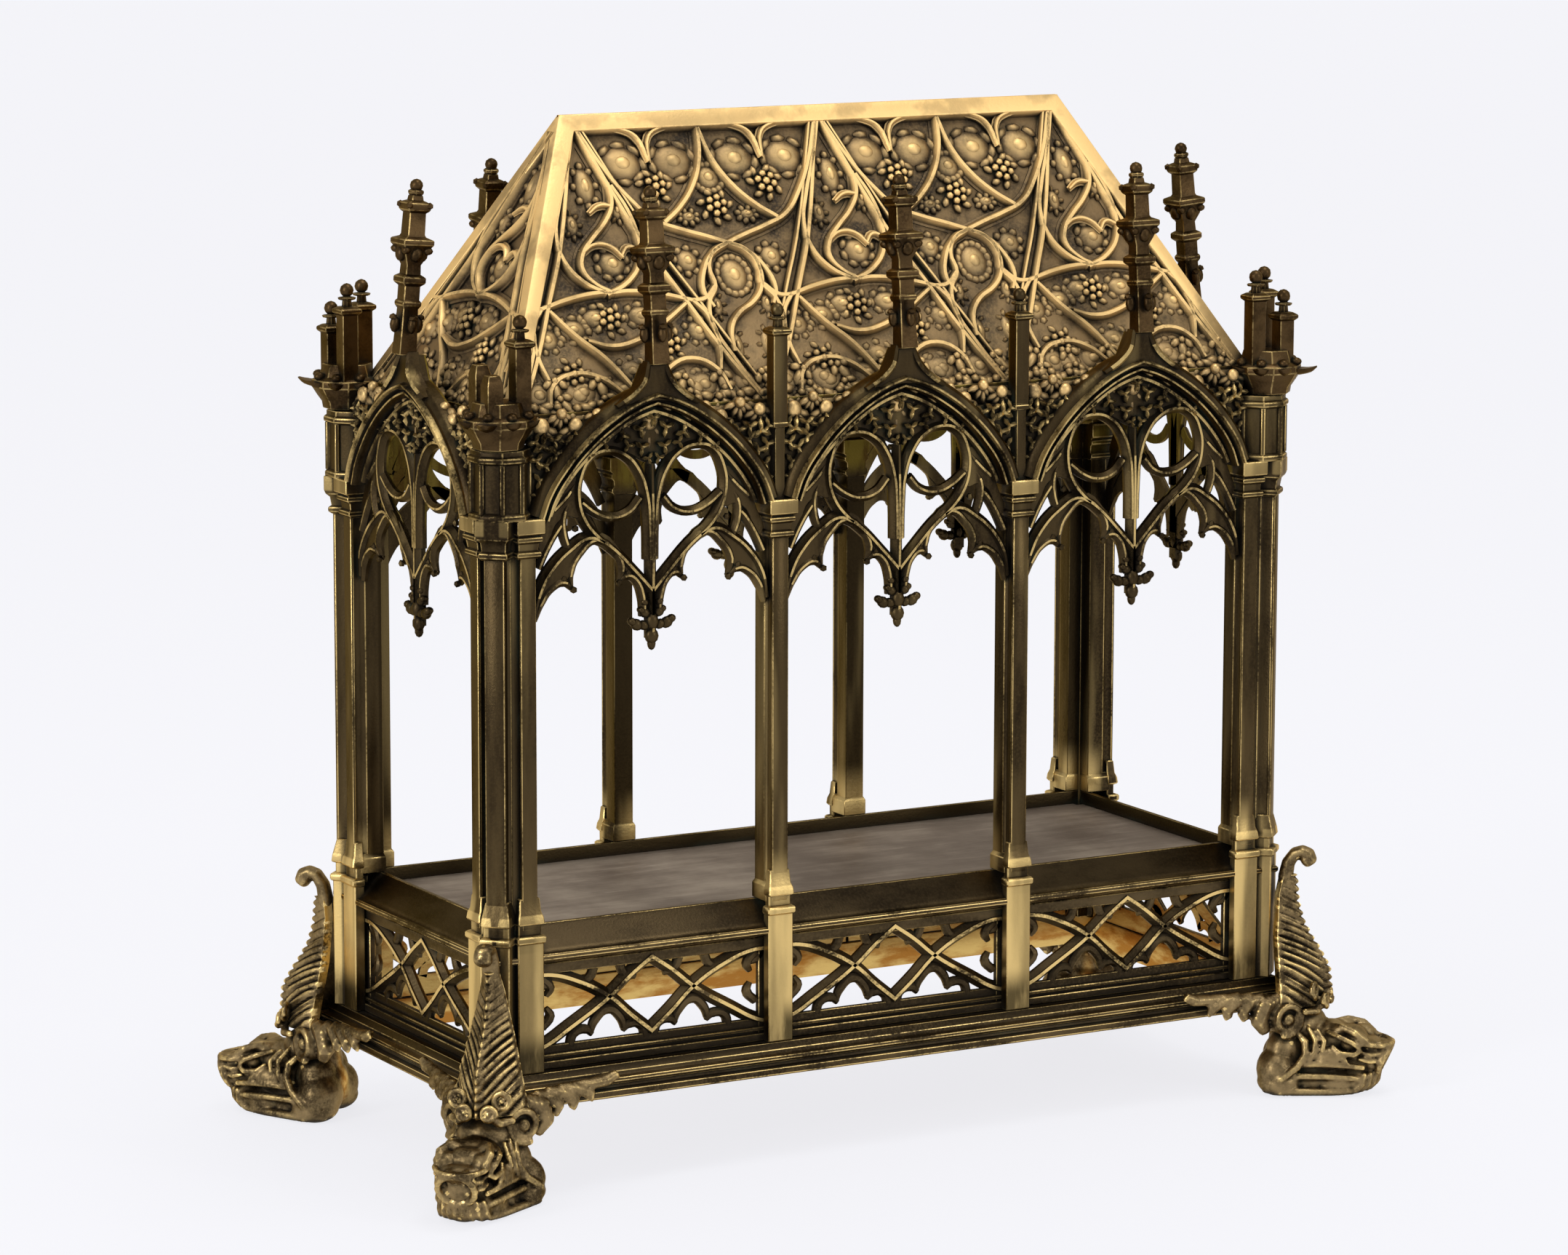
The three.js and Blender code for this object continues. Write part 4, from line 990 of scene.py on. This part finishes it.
# %% Roof relief
RIB = [
    (-2.2, -2.7), (-2.1, -2.05), (-1.4, -1.9), (-0.95, -0.85), (-0.5, -0.1),
    (0.5, -0.1), (0.95, -0.85), (1.4, -1.9), (2.1, -2.05), (2.2, -2.7),
]
FINE = [(-0.9, -2.7), (-0.85, -1.4), (-0.4, -0.35), (0.4, -0.35), (0.85, -1.4), (0.9, -2.7)]
TOP = -0.3

FAN = [
    [(.012, .07), (.17, .53), (.26, .72), (.36, .93), (.49, 1.16)],
    [(.035, .07, .7), (.215, .53, .8), (.30, .70, .8), (.39, .88, .8), (.475, 1.05, .6)],
]
TEAR = [
    [(0, .06), (-.055, .20), (-.13, .36), (-.17, .47), (-.165, .57), (-.11, .655), (-.03, .705)],
    [(.095, .29, .8), (.135, .39), (.148, .49), (.13, .59), (.065, .665), (-.03, .71)],
]
NODE = [
    [(.30, .75), (.17, .715), (.05, .70), (0, .703)],
    [(.30, .75), (.345, .81), (.36, .93), (.34, 1.02, .7)],
    [(.30, .75), (.35, .745), (.40, .70, .7)],
]
SWEEPS = [
    [(.02, .08), (.09, .24), (.155, .345), (.23, .43), (.33, .475), (.42, .505), (.5, .535)],
    [(.5, .08), (.475, .20), (.425, .30), (.35, .385), (.27, .445)],
    [(.5, .535), (.575, .575), (.625, .64), (.645, .72), (.62, .78, .7)],
    [(.10, .066, .4), (.19, .074, .5), (.245, .105, .6), (.27, .205, .45)],
    [(.44, .066, .4), (.35, .074, .5), (.295, .105, .6), (.27, .205, .45)],
]
CURL = [
    [(.085, .28, .7), (.08, .36), (.035, .43), (-.03, .49), (-.085, .55), (-.10, .61), (-.06, .67, .8), (-.01, .70, .6)],
    [(-.085, .545, .6), (-.03, .515, .6), (.03, .525, .6), (.07, .57, .5)],
    [(.14, .545, .7), (.10, .53, .6), (.065, .565, .5)],
    [(.08, .37, .6), (.03, .365, .6), (-.02, .395, .4)],
]
LOW = [
    [(.5, .535), (.435, .565), (.40, .625), (.405, .70), (.365, .76), (.355, .85), (.40, .97), (.5, 1.165)],
    [(.5, .535), (.565, .57), (.60, .635), (.59, .71), (.545, .765), (.47, .81), (.425, .87), (.415, .955, .8)],
    [(.64, .75, .8), (.645, .86), (.59, 1.0), (.5, 1.165)],
]
CROSSING = [
    [(-.27, .76, .8), (-.19, .86), (-.10, .95), (-.02, 1.07), (.02, 1.14, .7)],
    [(.27, .76, .8), (.16, .83), (.05, .885), (-.06, .905), (-.15, .88, .6)],
    [(.05, 1.10, .7), (.14, 1.0), (.24, .97), (.33, 1.02), (.36, 1.10, .7)],
    [(-.05, 1.10, .7), (-.14, 1.02), (-.24, 1.0), (-.33, 1.04), (-.36, 1.12, .7)],
]
BERRIES = [(.275, .30), (.5, .385), (-.04, .80), (-.235, 1.0), (.17, .905)]
BOSSES = [
    (.17, .20, 6.2, 5.2), (.375, .20, 6.2, 5.2), (.5, .655, 4.6, 5.2), (.5, .27, 4.2, 3.8), (.0, .28, 3.2, 5.6),
    (.33, .59, 3.6, 3.6), (.60, .77, 2.0, 3.4), (.30, .86, 3.8, 3.6), (.09, .79, 4.4, 3.2), (.23, 1.08, 6.2, 5.2),
    (.0, 1.0, 4.4, 3.8), (.44, .93, 2.2, 4.6), (.38, .42, 2.6, 1.8),
]
MID_BOSSES = [(-.19, .83, 4.4, 3.4), (-.09, 1.12, 4.2, 3.4), (.03, .585, 4.4, 4.2), (-.09, .43, 2.2, 3.4), (.10, .38, 2.0, 3.2)]


def flat_ball(x, v, half_x, half_v, height=1.9, turn=0.0):
    """A round leaf boss: a low pad with a swelling in its middle and a scalloped edge of leaf tips."""
    across, down = BAY * x, -BAY * v
    half_x, half_v = half_x * 1.12, half_v * 1.12
    made = [ball((across, down, -2.7), (half_x, half_v, height * 0.9), 2, turn)]
    made.append(ball((across, down, -2.7), (half_x * 0.5, half_v * 0.5, height * 1.2), 2, turn))
    for i in range(8):
        angle = i * math.tau / 8 + x * 9
        place = (across + half_x * math.cos(angle), down + half_v * math.sin(angle), -2.4)
        lie = math.atan2(half_v * math.cos(angle), -half_x * math.sin(angle))
        made.append(ball(place, (half_x * 0.42, 1.6, 1.35), 1, lie))
    return joined(made)


def berries(x, v):
    """A bunch of beads with small leaves round it."""
    made = []
    across, down = BAY * x, -BAY * v
    for i in range(6):
        angle = i * math.tau / 6 + 0.3
        made.append(ball((across + 2.5 * math.cos(angle), down + 2.5 * math.sin(angle), -1.2), (1.2, 1.2, 1.4)))
    made.append(ball((across, down, -0.9), (1.3, 1.3, 1.4)))
    for angle in (0.1, 0.9, 1.9, 2.8, 3.7, 4.6, 5.4):
        place = (across + 4.6 * math.cos(angle), down + 4.6 * math.sin(angle), -2.1)
        made.append(ball(place, (1.9, 1.25, 1.4), 1, angle + 0.5))
    return made


def bay_relief():
    """All the relief of one fan and the half bays beside it, round x = 0."""
    drop = lambda lines: [bays(line, True) for line in lines]
    half = [
        sweep(drop(FAN[:1] + NODE + SWEEPS + LOW[:1]), RIB, bright=TOP, steps=4),
        sweep(drop(FAN[1:]), FINE, bright=TOP, steps=4),
    ]
    half += [flat_ball(*boss) for boss in BOSSES if boss[0] > 0.01]
    for x, v in ((.275, .30),):
        half += berries(x, v)
    whole = both(joined(half))
    whole.append(sweep(drop(TEAR + CURL + CROSSING), RIB, bright=TOP, steps=4))
    whole.append(sweep(drop([LOW[1]]), RIB, bright=TOP, steps=4))
    whole += [flat_ball(*boss) for boss in BOSSES if boss[0] <= 0.01]
    whole += [flat_ball(*boss) for boss in MID_BOSSES]
    for x, v in ((-.04, .80), (-.235, 1.0), (.17, .905)):
        whole += berries(x, v)
    return joined(whole)


def pod(size):
    """A curled leaf of the fringe: a middle lobe and two side lobes."""
    return joined([
        ball((0, -size * 0.5, 0), (size * 0.42, size * 0.8, size * 0.35)),
        ball((-size * 0.5, 0, 0.2), (size * 0.5, size * 0.33, size * 0.33), 1, 0.7),
        ball((size * 0.5, 0, 0.2), (size * 0.5, size * 0.33, size * 0.33), 1, -0.7),
        ball((0, size * 0.2, 0.7), (size * 0.28, size * 0.28, size * 0.28)),
    ])


def cut(mesh, point, normal):
    """Keeps the side of a plane that its normal points away from, and closes the cut."""
    bm = bmesh.new()
    bm.from_mesh(mesh)
    geom = bm.verts[:] + bm.edges[:] + bm.faces[:]
    made = bmesh.ops.bisect_plane(bm, geom=geom, dist=1e-5, plane_co=point, plane_no=normal, clear_outer=True)
    rim = [e for e in made["geom_cut"] if isinstance(e, bmesh.types.BMEdge)]
    bmesh.ops.holes_fill(bm, edges=rim, sides=0)
    return to_mesh(bm)


def slope_relief(nodes, top_half, foot_half, run):
    length = math.hypot(run, RIDGE - EAVES)
    motif = bay_relief()
    parts = [copy for node in nodes for copy in placed(motif, Matrix.Translation((node, 0, 0)))]
    for i in range(len(nodes) - 1):
        middle = nodes[i] + BAY / 2
        parts += placed(joined(berries(0, .385)), Matrix.Translation((middle, 0, 0)))
    picks = random.Random(3)
    steps = int(2 * foot_half / 12.5)
    for i in range(steps + 1):
        x = -foot_half + 2 * foot_half * i / steps + picks.uniform(-1.2, 1.2)
        parts.append(flat_ball(x / BAY, (length - 7.2) / BAY, 4.8, 4.2, 2.1))
        for shift, v, size in ((5.4, length - 9.5, 1.0), (-3.2, length - 1.6, 1.3), (3.6, length - 1.9, 1.2), (6.2, length - 4.6, 1.0)):
            way = Matrix.Translation((x + shift, -v + picks.uniform(-0.6, 0.6), -1.5))
            lean = Matrix.Rotation(picks.uniform(-0.8, 0.8), 4, "Z")
            parts += placed(pod(4.4), way @ lean @ Matrix.Scale(size, 4))
    flat = joined(parts)
    for side in (-1, 1):
        edge = Vector((side * (foot_half - top_half), -length, 0))
        across = Vector((length * side, foot_half - top_half, 0)).normalized()
        flat = cut(flat, Vector((side * top_half, 0, 0)) - across * 3.2, across)
    flat = cut(flat, Vector((0, -3.4, 0)), Vector((0, 1, 0)))
    return flat


def slope_way(turn, run):
    up = Vector((0, run, RIDGE - EAVES)).normalized()
    along = Vector((1, 0, 0))
    basis = Matrix((along, up, along.cross(up))).transposed().to_4x4()
    start = -RIDGE_HALF if run < ROOF_Y else 0.0
    return Matrix.Rotation(turn, 4, "Z") @ Matrix.Translation((0, start, RIDGE)) @ basis


LONG_RELIEF = slope_relief((-BAY, 0.0, BAY), RIDGE_HALF, ROOF_X, ROOF_Y)
END_RELIEF = slope_relief((0.0,), 0.6, ROOF_Y, ROOF_X - RIDGE_HALF)
for name, turn, relief, run in (
    ("front", 0.0, LONG_RELIEF, ROOF_Y), ("back", math.pi, LONG_RELIEF, ROOF_Y),
    ("right", math.pi / 2, END_RELIEF, ROOF_X - RIDGE_HALF), ("left", -math.pi / 2, END_RELIEF, ROOF_X - RIDGE_HALF),
):
    piece(f"roof_tracery_{name}", relief, ROOF, slope_way(turn, run), ["roof"], 50)
print("relief", COUNT["roof_tracery_front"], COUNT["roof_tracery_left"])

# %% [markdown]
# ## Feet
# Each foot is a crouching beast with its chin on the table, a scroll on each flank, a leaf along each
# side of the plinth and a tall leaf that climbs the corner and curls over. Cast animals have no hard
# joins, so the beast is roughed out from balls, as a modeller builds in clay, and a voxel remesh fuses
# them into one skin. It is drawn with x pointing out along the diagonal from the plinth's corner.

# %% Clay
def clay(parts, grain):
    """Fuses a heap of closed shapes into one smooth skin."""
    lump = bpy.data.objects.new("clay", joined(parts))
    scene.collection.objects.link(lump)
    fuse = lump.modifiers.new("fuse", "REMESH")
    fuse.mode, fuse.voxel_size, fuse.use_smooth_shade = "VOXEL", grain, True
    ease = lump.modifiers.new("ease", "SMOOTH")
    ease.factor, ease.iterations = 0.55, 3
    graph = bpy.context.evaluated_depsgraph_get()
    mesh = bpy.data.meshes.new_from_object(lump.evaluated_get(graph))
    bpy.data.objects.remove(lump)
    return mesh


def rolled(line, size, fine=1):
    """A string of overlapping balls along points (x, y, z, size): a lip, a brow or a vein."""
    made = []
    for a, b in zip(line, line[1:]):
        start, end = Vector(a[:3]), Vector(b[:3])
        first, last = (p[3] if len(p) > 3 else size for p in (a, b))
        count = max(2, int((end - start).length / (min(first, last) * 0.6)))
        for i in range(count):
            t = i / count
            r = first + (last - first) * t
            made.append(ball(start.lerp(end, t), (r, r, r), fine))
    return made


def flipped(parts):
    """The parts and their mirror images across the foot's own middle."""
    across = Matrix.Diagonal((1, -1, 1, 1))
    return [copy for part in parts for copy in placed(part, Matrix(), across)]


# %% The beast's head
def beast_head():
    middle = [
        ball((5, 0, 3.8), (11, 10.4, 4.4), 3), ball((14, 0, 3.8), (10, 9.4, 4.0), 3), ball((22.6, 0, 4.8), (4.2, 6.2, 4.4), 3),
        ball((25.0, 0, 11.2), (3.6, 5.8, 4.9), 3),
        ball((8, 0, 8.4), (12, 9.4, 7), 3), ball((-0.5, 0, 14), (6.2, 8.2, 11), 3), ball((3, 0, 20), (8, 8.4, 6.4), 3),
        ball((12, 0, 16.4), (7, 7.4, 5.4), 3), ball((18.6, 0, 16.4), (5, 6.6, 4.2), 3), ball((20.4, 0, 11.4), (6.4, 6.2, 5), 3),
        ball((25.6, 0, 14.4), (5.2, 5.8, 1.5), 3), ball((29.2, 0, 15.0), (2.4, 4.6, 1.1), 2), ball((24, 0, 15.6), (3.6, 6.4, 1.6), 3), ball((-2.0, 0, 10.2), (6.4, 8.2, 6.6), 3),
    ]
    # One side: brows, eye, pouch under it, cheek, the flank's ridge, lips, jaw, snout folds, locks of mane.
    side = [
        ball((18.8, 6.2, 15.9), (2.4, 2.2, 2.1), 2), ball((12, 8.0, 11.6), (6.4, 3.0, 3.6), 2), ball((0, 6.2, 12), (5.2, 4.4, 8), 3),
        ball((-2.4, 6.4, 7.2), (6.6, 9.2, 7.2), 3), ball((-1.2, 5.0, 12.4), (5.4, 7.0, 7.0), 3), ball((-1.5, 8.2, 3.8), (7.0, 7.6, 4.6), 3), ball((6, 7.6, 4.2), (6.5, 3.2, 4.2), 2), ball((14, 6.6, 4.2), (6.5, 3.2, 4.2), 2),
        ball((20.5, 4.8, 4.6), (4.0, 3.0, 4.4), 2),
        ball((27.4, 2.4, 15.5), (1.9, 1.3, 1.1), 2), ball((21.0, 5.2, 17.2), (3.6, 2.8, 2.6), 2), ball((15.4, 4.2, 19.6), (3.4, 2.6, 1.8), 2, 0.4),
    ]
    side += rolled([(12.8, 2.6, 20.6, 0.9), (16.6, 5.6, 20.8), (21, 7.4, 19.6), (24, 6.8, 17.2), (24.2, 5.4, 15.2, 0.8)], 1.35)
    side += rolled([(12.4, 6.6, 19.2, 0.8), (16.4, 8.6, 18.4), (20.6, 8.7, 16.8), (22.6, 7.8, 14.8, 0.7)], 1.0)
    side += rolled([(14.2, 8.4, 15.6, 0.7), (16.6, 9.2, 13.6), (20.8, 8.6, 13.2), (23.2, 7.2, 14.4, 0.7)], 1.0)
    side += rolled([(3.2, 8.6, 19.4, 0.9), (6.2, 9.8, 16.5), (6.6, 10.8, 12.8), (4.4, 12.6, 9.2), (0.0, 15, 5.8), (-6, 13.4, 4.0, 1.0)], 1.35)
    side += rolled([(0, 10.4, 7.6, 0.9), (6, 10.9, 9.8), (13, 10.3, 10.2), (19, 8.8, 9.8), (24, 7.0, 9.0, 0.9)], 1.15)
    side += rolled([(-1, 13.0, 4.8, 1.0), (5, 11.6, 6.2), (13, 10.1, 6.3), (20, 8.2, 5.9), (23.4, 6.4, 5.4, 0.9)], 1.2)
    side += rolled([(-5, 12.6, 1.8, 1.4), (0, 14.2, 1.7), (6, 12.0, 1.6), (14, 9.3, 1.5), (21, 7.0, 1.6, 1.1)], 1.4)
    side += rolled([(22.0, 7.6, 16.6, 0.8), (25.6, 7.3, 16.2), (28.6, 5.6, 15.8), (30.6, 2.8, 15.7), (31.1, 0, 15.7)], 1.0)
    side += rolled([(22.4, 6.2, 13.6, 0.7), (25.6, 6.2, 13.0), (28.6, 5.2, 13.4), (30.2, 3.4, 14.4, 0.7)], 0.85)
    side += rolled([(22.2, 6.9, 11.6, 0.7), (25.2, 6.6, 11.0), (27.8, 5.6, 11.0, 0.7)], 0.85)
    side += rolled([(9.4, 7.6, 20, 0.7), (12, 9.6, 17), (11.6, 10.4, 13.8, 0.8)], 1.05)
    side += rolled([(6.8, 8.2, 20.6, 0.7), (9.4, 9.9, 17.4), (9.2, 10.6, 13.6), (7.4, 11.0, 11.0, 0.7)], 1.0)
    side += rolled([(15.4, 9.6, 11.8, 0.7), (17.4, 9.5, 12.2), (18.6, 9.2, 11.2), (17.4, 9.4, 10.6, 0.6)], 0.8)
    # The open mouth is a slanting oval lip with teeth in it, and the beard hangs under it.
    lip = [(28.7 + 2.0 * math.sin(a), 5.4 * math.cos(a), 10.9 + 4.5 * math.sin(a)) for a in (math.pi * i / 8 for i in range(-4, 5))]
    side += rolled(lip, 1.15)
    side += [ball((29.2 - 0.12 * y * y, y, 13.6 - 0.1 * y * y), (0.6, 0.65, 1.2), 1) for y in (0.8, 2.3, 3.7)]
    side += [ball((26.9 - 0.1 * y * y, y, 8.3 + 0.1 * y * y), (0.6, 0.65, 1.1), 1) for y in (0.8, 2.3, 3.7)]
    for y in (0.9, 2.8, 4.6, 6.2):
        away = 0.09 * y * y
        side += rolled([(27.2 - away, y, 6.6, 1.0), (26.6 - away, y * 1.08, 3.9), (24.4 - away, y * 1.15, 1.4, 0.9)], 1.15)
    return clay(middle + flipped(side), 0.45)


# %% The climbing leaf
SPINE = [(10.6, 26.4), (11.2, 30), (10.4, 38), (7.2, 43.6), (4.6, 47.4), (2.2, 51.8), (0.6, 57.2), (-0.2, 65.6)]
LEAF_EDGE = [(-1.0, 26.4), (-1.6, 32), (-3.4, 47), (-3.6, 60), (-2.6, 65.6)]
VEINS = 13


def along(line, z):
    """Where a line of (t, z) points is at height z."""
    for (x0, z0), (x1, z1) in zip(line, line[1:]):
        if z <= z1:
            return x0 + (x1 - x0) * (z - z0) / (z1 - z0)
    return line[-1][0]


def climbing_leaf(rows=150, columns=64):
    """A folded blade. Fingers rise from its beaded fold to its smooth edges; the forward roll at its tip is made in
    leaf_extras.
    """
    bottom, top = SPINE[0][1], SPINE[-1][1]
    bm = bmesh.new()
    front, rear = [], []
    for i in range(rows + 1):
        z = bottom + (top - bottom) * i / rows
        fold, edge = along(SPINE, z), along(LEAF_EDGE, z)
        half = 11.6 - (z - bottom) * 0.235
        near, far = [], []
        for k in range(columns + 1):
            v = 2 * k / columns - 1
            share = abs(v)
            bulge = 0.7 * math.sin(math.pi * share)
            x = fold + (edge - fold) * share + bulge
            wave = (z - bottom) - 0.9 * (fold - edge) * share ** 0.85
            finger = abs(math.sin(math.pi * wave / (top - bottom) * VEINS))
            inside = min(1.0, (1 - share) * 9)
            lobe = abs(math.sin(math.pi * (wave + 1.5) / 8.2)) ** 0.5 - 0.55
            lift = (1.6 * finger ** 0.6 - 0.8 + 1.5 * lobe) * inside * min(1, share * 5) * min(1, half / 8)
            bead = max(0.0, 1 - share * half / 1.7) * (0.6 + 1.5 * abs(math.sin(math.pi * z / 2.4)))
            near.append(bm.verts.new((x + (lift + bead) * 0.75, v * half * (1 + 0.07 * lift), z + lift * 0.2)))
            far.append(bm.verts.new((x - 1.7, v * (half - 2.0 * share), z)))
        front.append(near)
        rear.append(far)
    for i in range(rows):
        for k in range(columns):
            bm.faces.new((front[i][k], front[i][k + 1], front[i + 1][k + 1], front[i + 1][k]))
            bm.faces.new((rear[i][k], rear[i + 1][k], rear[i + 1][k + 1], rear[i][k + 1]))
        bm.faces.new((front[i][0], front[i + 1][0], rear[i + 1][0], rear[i][0]))
        bm.faces.new((front[i][-1], rear[i][-1], rear[i + 1][-1], front[i + 1][-1]))
    for k in range(columns):
        bm.faces.new((front[0][k], rear[0][k], rear[0][k + 1], front[0][k + 1]))
        bm.faces.new((front[-1][k], front[-1][k + 1], rear[-1][k + 1], rear[-1][k]))
    bmesh.ops.recalc_face_normals(bm, faces=bm.faces)
    return to_mesh(bm)


def leaf_extras():
    parts = []
    roll = [
        (-2.8, 60, 1.9), (-2.4, 65, 2.4), (-1.7, 69, 2.1), (0.3, 72.2, 1.8), (2.6, 73.0, 1.75), (4.6, 72.2, 1.8),
        (5.2, 70.6, 1.8), (4.2, 69.8, 1.7), (3.4, 70.6, 1.6),
    ]
    for (x0, z0, r0), (x1, z1, r1) in zip(roll, roll[1:]):
        for k in range(5):
            t = k / 5
            r = r0 + (r1 - r0) * t
            parts.append(ball((x0 + (x1 - x0) * t, 0, z0 + (z1 - z0) * t), (r, 2.7, r), 2))
    for side in (-1, 1):  # two curled tips low on each side
        for x, y, z, r in ((7.4, 6.4, 31.5, 2.3), (10.4, 3.6, 28.2, 1.9)):
            curl = [(x + 0.4 + 0.08 * k, side * (y + r * math.cos(k * 0.55)), z + r * math.sin(k * 0.55), 1.15 - 0.03 * k) for k in range(12)]
            parts += rolled(curl, 1.1)
            parts.append(ball((x + 1.1, side * y, z), (1.0, 0.8, 0.8)))
        parts += rolled([(9.6, side * 2.4, 27.5, 1.3), (8.8, side * 6.0, 25.2), (5.4, side * 9.4, 25.6, 1.2)], 1.5)
    return clay(parts, 0.45)


# %% Scrolls and side leaves
SCROLL = (-6.6, -8.4, 23.2)
LOBES = [  # four points (x, z) down a lobe, its size, and how far it stands out
    ((-8.5, 29.0), (-13.4, 27.2), (-15.0, 23.4), (-12.4, 19.6), 3.1, 4.6),
    ((-13.6, 29.8), (-17.6, 28.6), (-19.8, 26.4), (-18.6, 23.8), 2.1, 3.2),
    ((-17.6, 30.2), (-21.8, 29.4), (-25.0, 27.2), (-24.6, 24.8), 2.1, 2.6),
    ((-21.6, 30.6), (-26.2, 30.0), (-30.2, 28.2), (-30.6, 26.4), 1.9, 2.2),
    ((-26, 30.8), (-31, 30.6), (-36, 31.0), (-39.5, 32.6), 1.6, 1.8),
]


def flank(side):
    """The scroll and the leaf along one side of the plinth, in that side's own frame: -x leads back
    along the plinth from its corner and -y stands out."""
    x, y, z = SCROLL
    parts = [ball((x, y + 0.2, z), (2.0, 1.7, 2.0), 2), ball((-13.6, -1.2, 27.4), (5.6, 2.6, 3.0), 2), ball((-22, -0.6, 29.0), (7, 2.0, 1.9), 2)]
    spiral = []
    for i in range(26):
        angle = -1.9 + i * 0.34
        r = 5.0 - i * 0.085
        spiral.append((x + r * math.cos(angle), y - 0.2 + 0.02 * i, z + r * math.sin(angle), 1.35 - 0.012 * i))
    parts += rolled(spiral, 1.2)
    drum = turned([(1.6, 4.9), (-y - 0.9, 4.9)], 20, 0)
    parts += placed(drum, Matrix.Translation((x, 0, z)) @ UPRIGHT)
    parts += rolled([(1, -4.6, 28.2, 1.3), (-8, -4.4, 29.2, 1.3), (-18, -1.6, 30.4, 1.0), (-29, -1.2, 31.4, 0.8), (-39.5, -0.9, 33.0, 0.6)], 1.1)
    for *line, fat, out in LOBES:
        for spread, thick in ((0, 1.0), (0.9, 0.62), (-0.9, 0.62)):  # a main vein between two lesser folds
            points = []
            for k, (a, c) in enumerate(line):
                width = fat * thick * (0.75, 1.05, 1.0, 0.6)[k]
                points.append((a + spread * 0.7, 0.4 - out - 0.7 * thick, c + spread * 0.8, width))
            parts += rolled(points, fat)
    made = clay(parts, 0.42)
    if side > 0:
        return placed(made, Matrix.Rotation(math.pi / 4, 4, "Z"))[0]
    return placed(made, Matrix.Rotation(-math.pi / 4, 4, "Z") @ Matrix.Diagonal((1, -1, 1, 1)))[0]


def foot():
    head = cut(beast_head(), Vector((0, 0, 0.02)), Vector((0, 0, -1)))
    return joined([head, climbing_leaf(), leaf_extras(), flank(1), flank(-1)])


FOOT = foot()
for name in CORNERS:
    place = Matrix.Translation((15, -15, 0)) @ Matrix.Rotation(-math.pi / 4, 4, "Z")
    piece(f"beast_foot_{name}", FOOT, BEASTS, corner_way(name) @ place, [f"foot_{name}"], 60)
print("foot", COUNT["beast_foot_front_right"])

# %% [markdown]
# ## Camera, light and table
# The casket stands on a white light table, so that the pierced work reads against clean white and the
# shadow under it stays faint. One soft lamp hangs overhead and two upright strips stand at the sides:
# narrow lamps draw thin bright lines along polished fillets. The camera is low and long, a little to
# the left of the front.

# %% Camera
YAW, PITCH, DISTANCE = math.radians(-29.31), math.radians(9.77), 1.671
target = Vector((-0.0093, 0.0, 0.1442))
back = Vector((math.sin(YAW) * math.cos(PITCH), -math.cos(YAW) * math.cos(PITCH), math.sin(PITCH)))
lens = bpy.data.cameras.new("camera")
lens.lens, lens.sensor_width = 130.15, 36.0
camera = bpy.data.objects.new("camera", lens)
camera.location = target + back * DISTANCE
turn = back.to_track_quat("Z", "Y").to_matrix() @ Matrix.Rotation(math.radians(0.137), 3, "Z")
camera.rotation_euler = turn.to_euler()
scene.collection.objects.link(camera)
scene.camera = camera


# %% Lamps and table
def lamp(name, place, aim, size, power, color=(1, 1, 1)):
    data = bpy.data.lights.new(name, "AREA")
    data.shape = "RECTANGLE"
    data.size, data.size_y = size
    data.energy, data.color = power, color
    thing = bpy.data.objects.new(name, data)
    thing.location = place
    thing.rotation_euler = (Vector(place) - Vector(aim)).to_track_quat("Z", "Y").to_euler()
    scene.collection.objects.link(thing)


lamp("overhead", (0.2, -0.2, 1.5), (0, 0, 0.15), (0.7, 0.5), 6.5)
lamp("left_softbox", (-1.4, -0.35, 0.7), (0, 0, 0.15), (0.25, 1.0), 9)
lamp("right_softbox", (0.9, -1.5, 0.9), (0, 0, 0.15), (0.2, 0.9), 5)
world = bpy.data.worlds.new("studio")
world.use_nodes = True
world.node_tree.nodes["Background"].inputs[0].default_value = (0.93, 0.93, 0.95, 1)
world.node_tree.nodes["Background"].inputs[1].default_value = 0.8
scene.world = world

bm = bmesh.new()
bmesh.ops.create_grid(bm, x_segments=2, y_segments=2, size=12.0)
table = bpy.data.objects.new("table_top", to_mesh(bm))
paper = Finish("light_table")
paper.set(Base_Color=(0.10, 0.10, 0.105, 1), Roughness=0.9)
table.data.materials.append(paper.set(Emission_Color=(0.96, 0.96, 1.0, 1), Emission_Strength=0.81))
scene.collection.objects.link(table)

# %% [markdown]
# ## Last measures
# The triangles of the finished pieces are counted.

# %% Count the triangles
print("triangles", sum(COUNT.values()), "in", len(COUNT), "pieces")
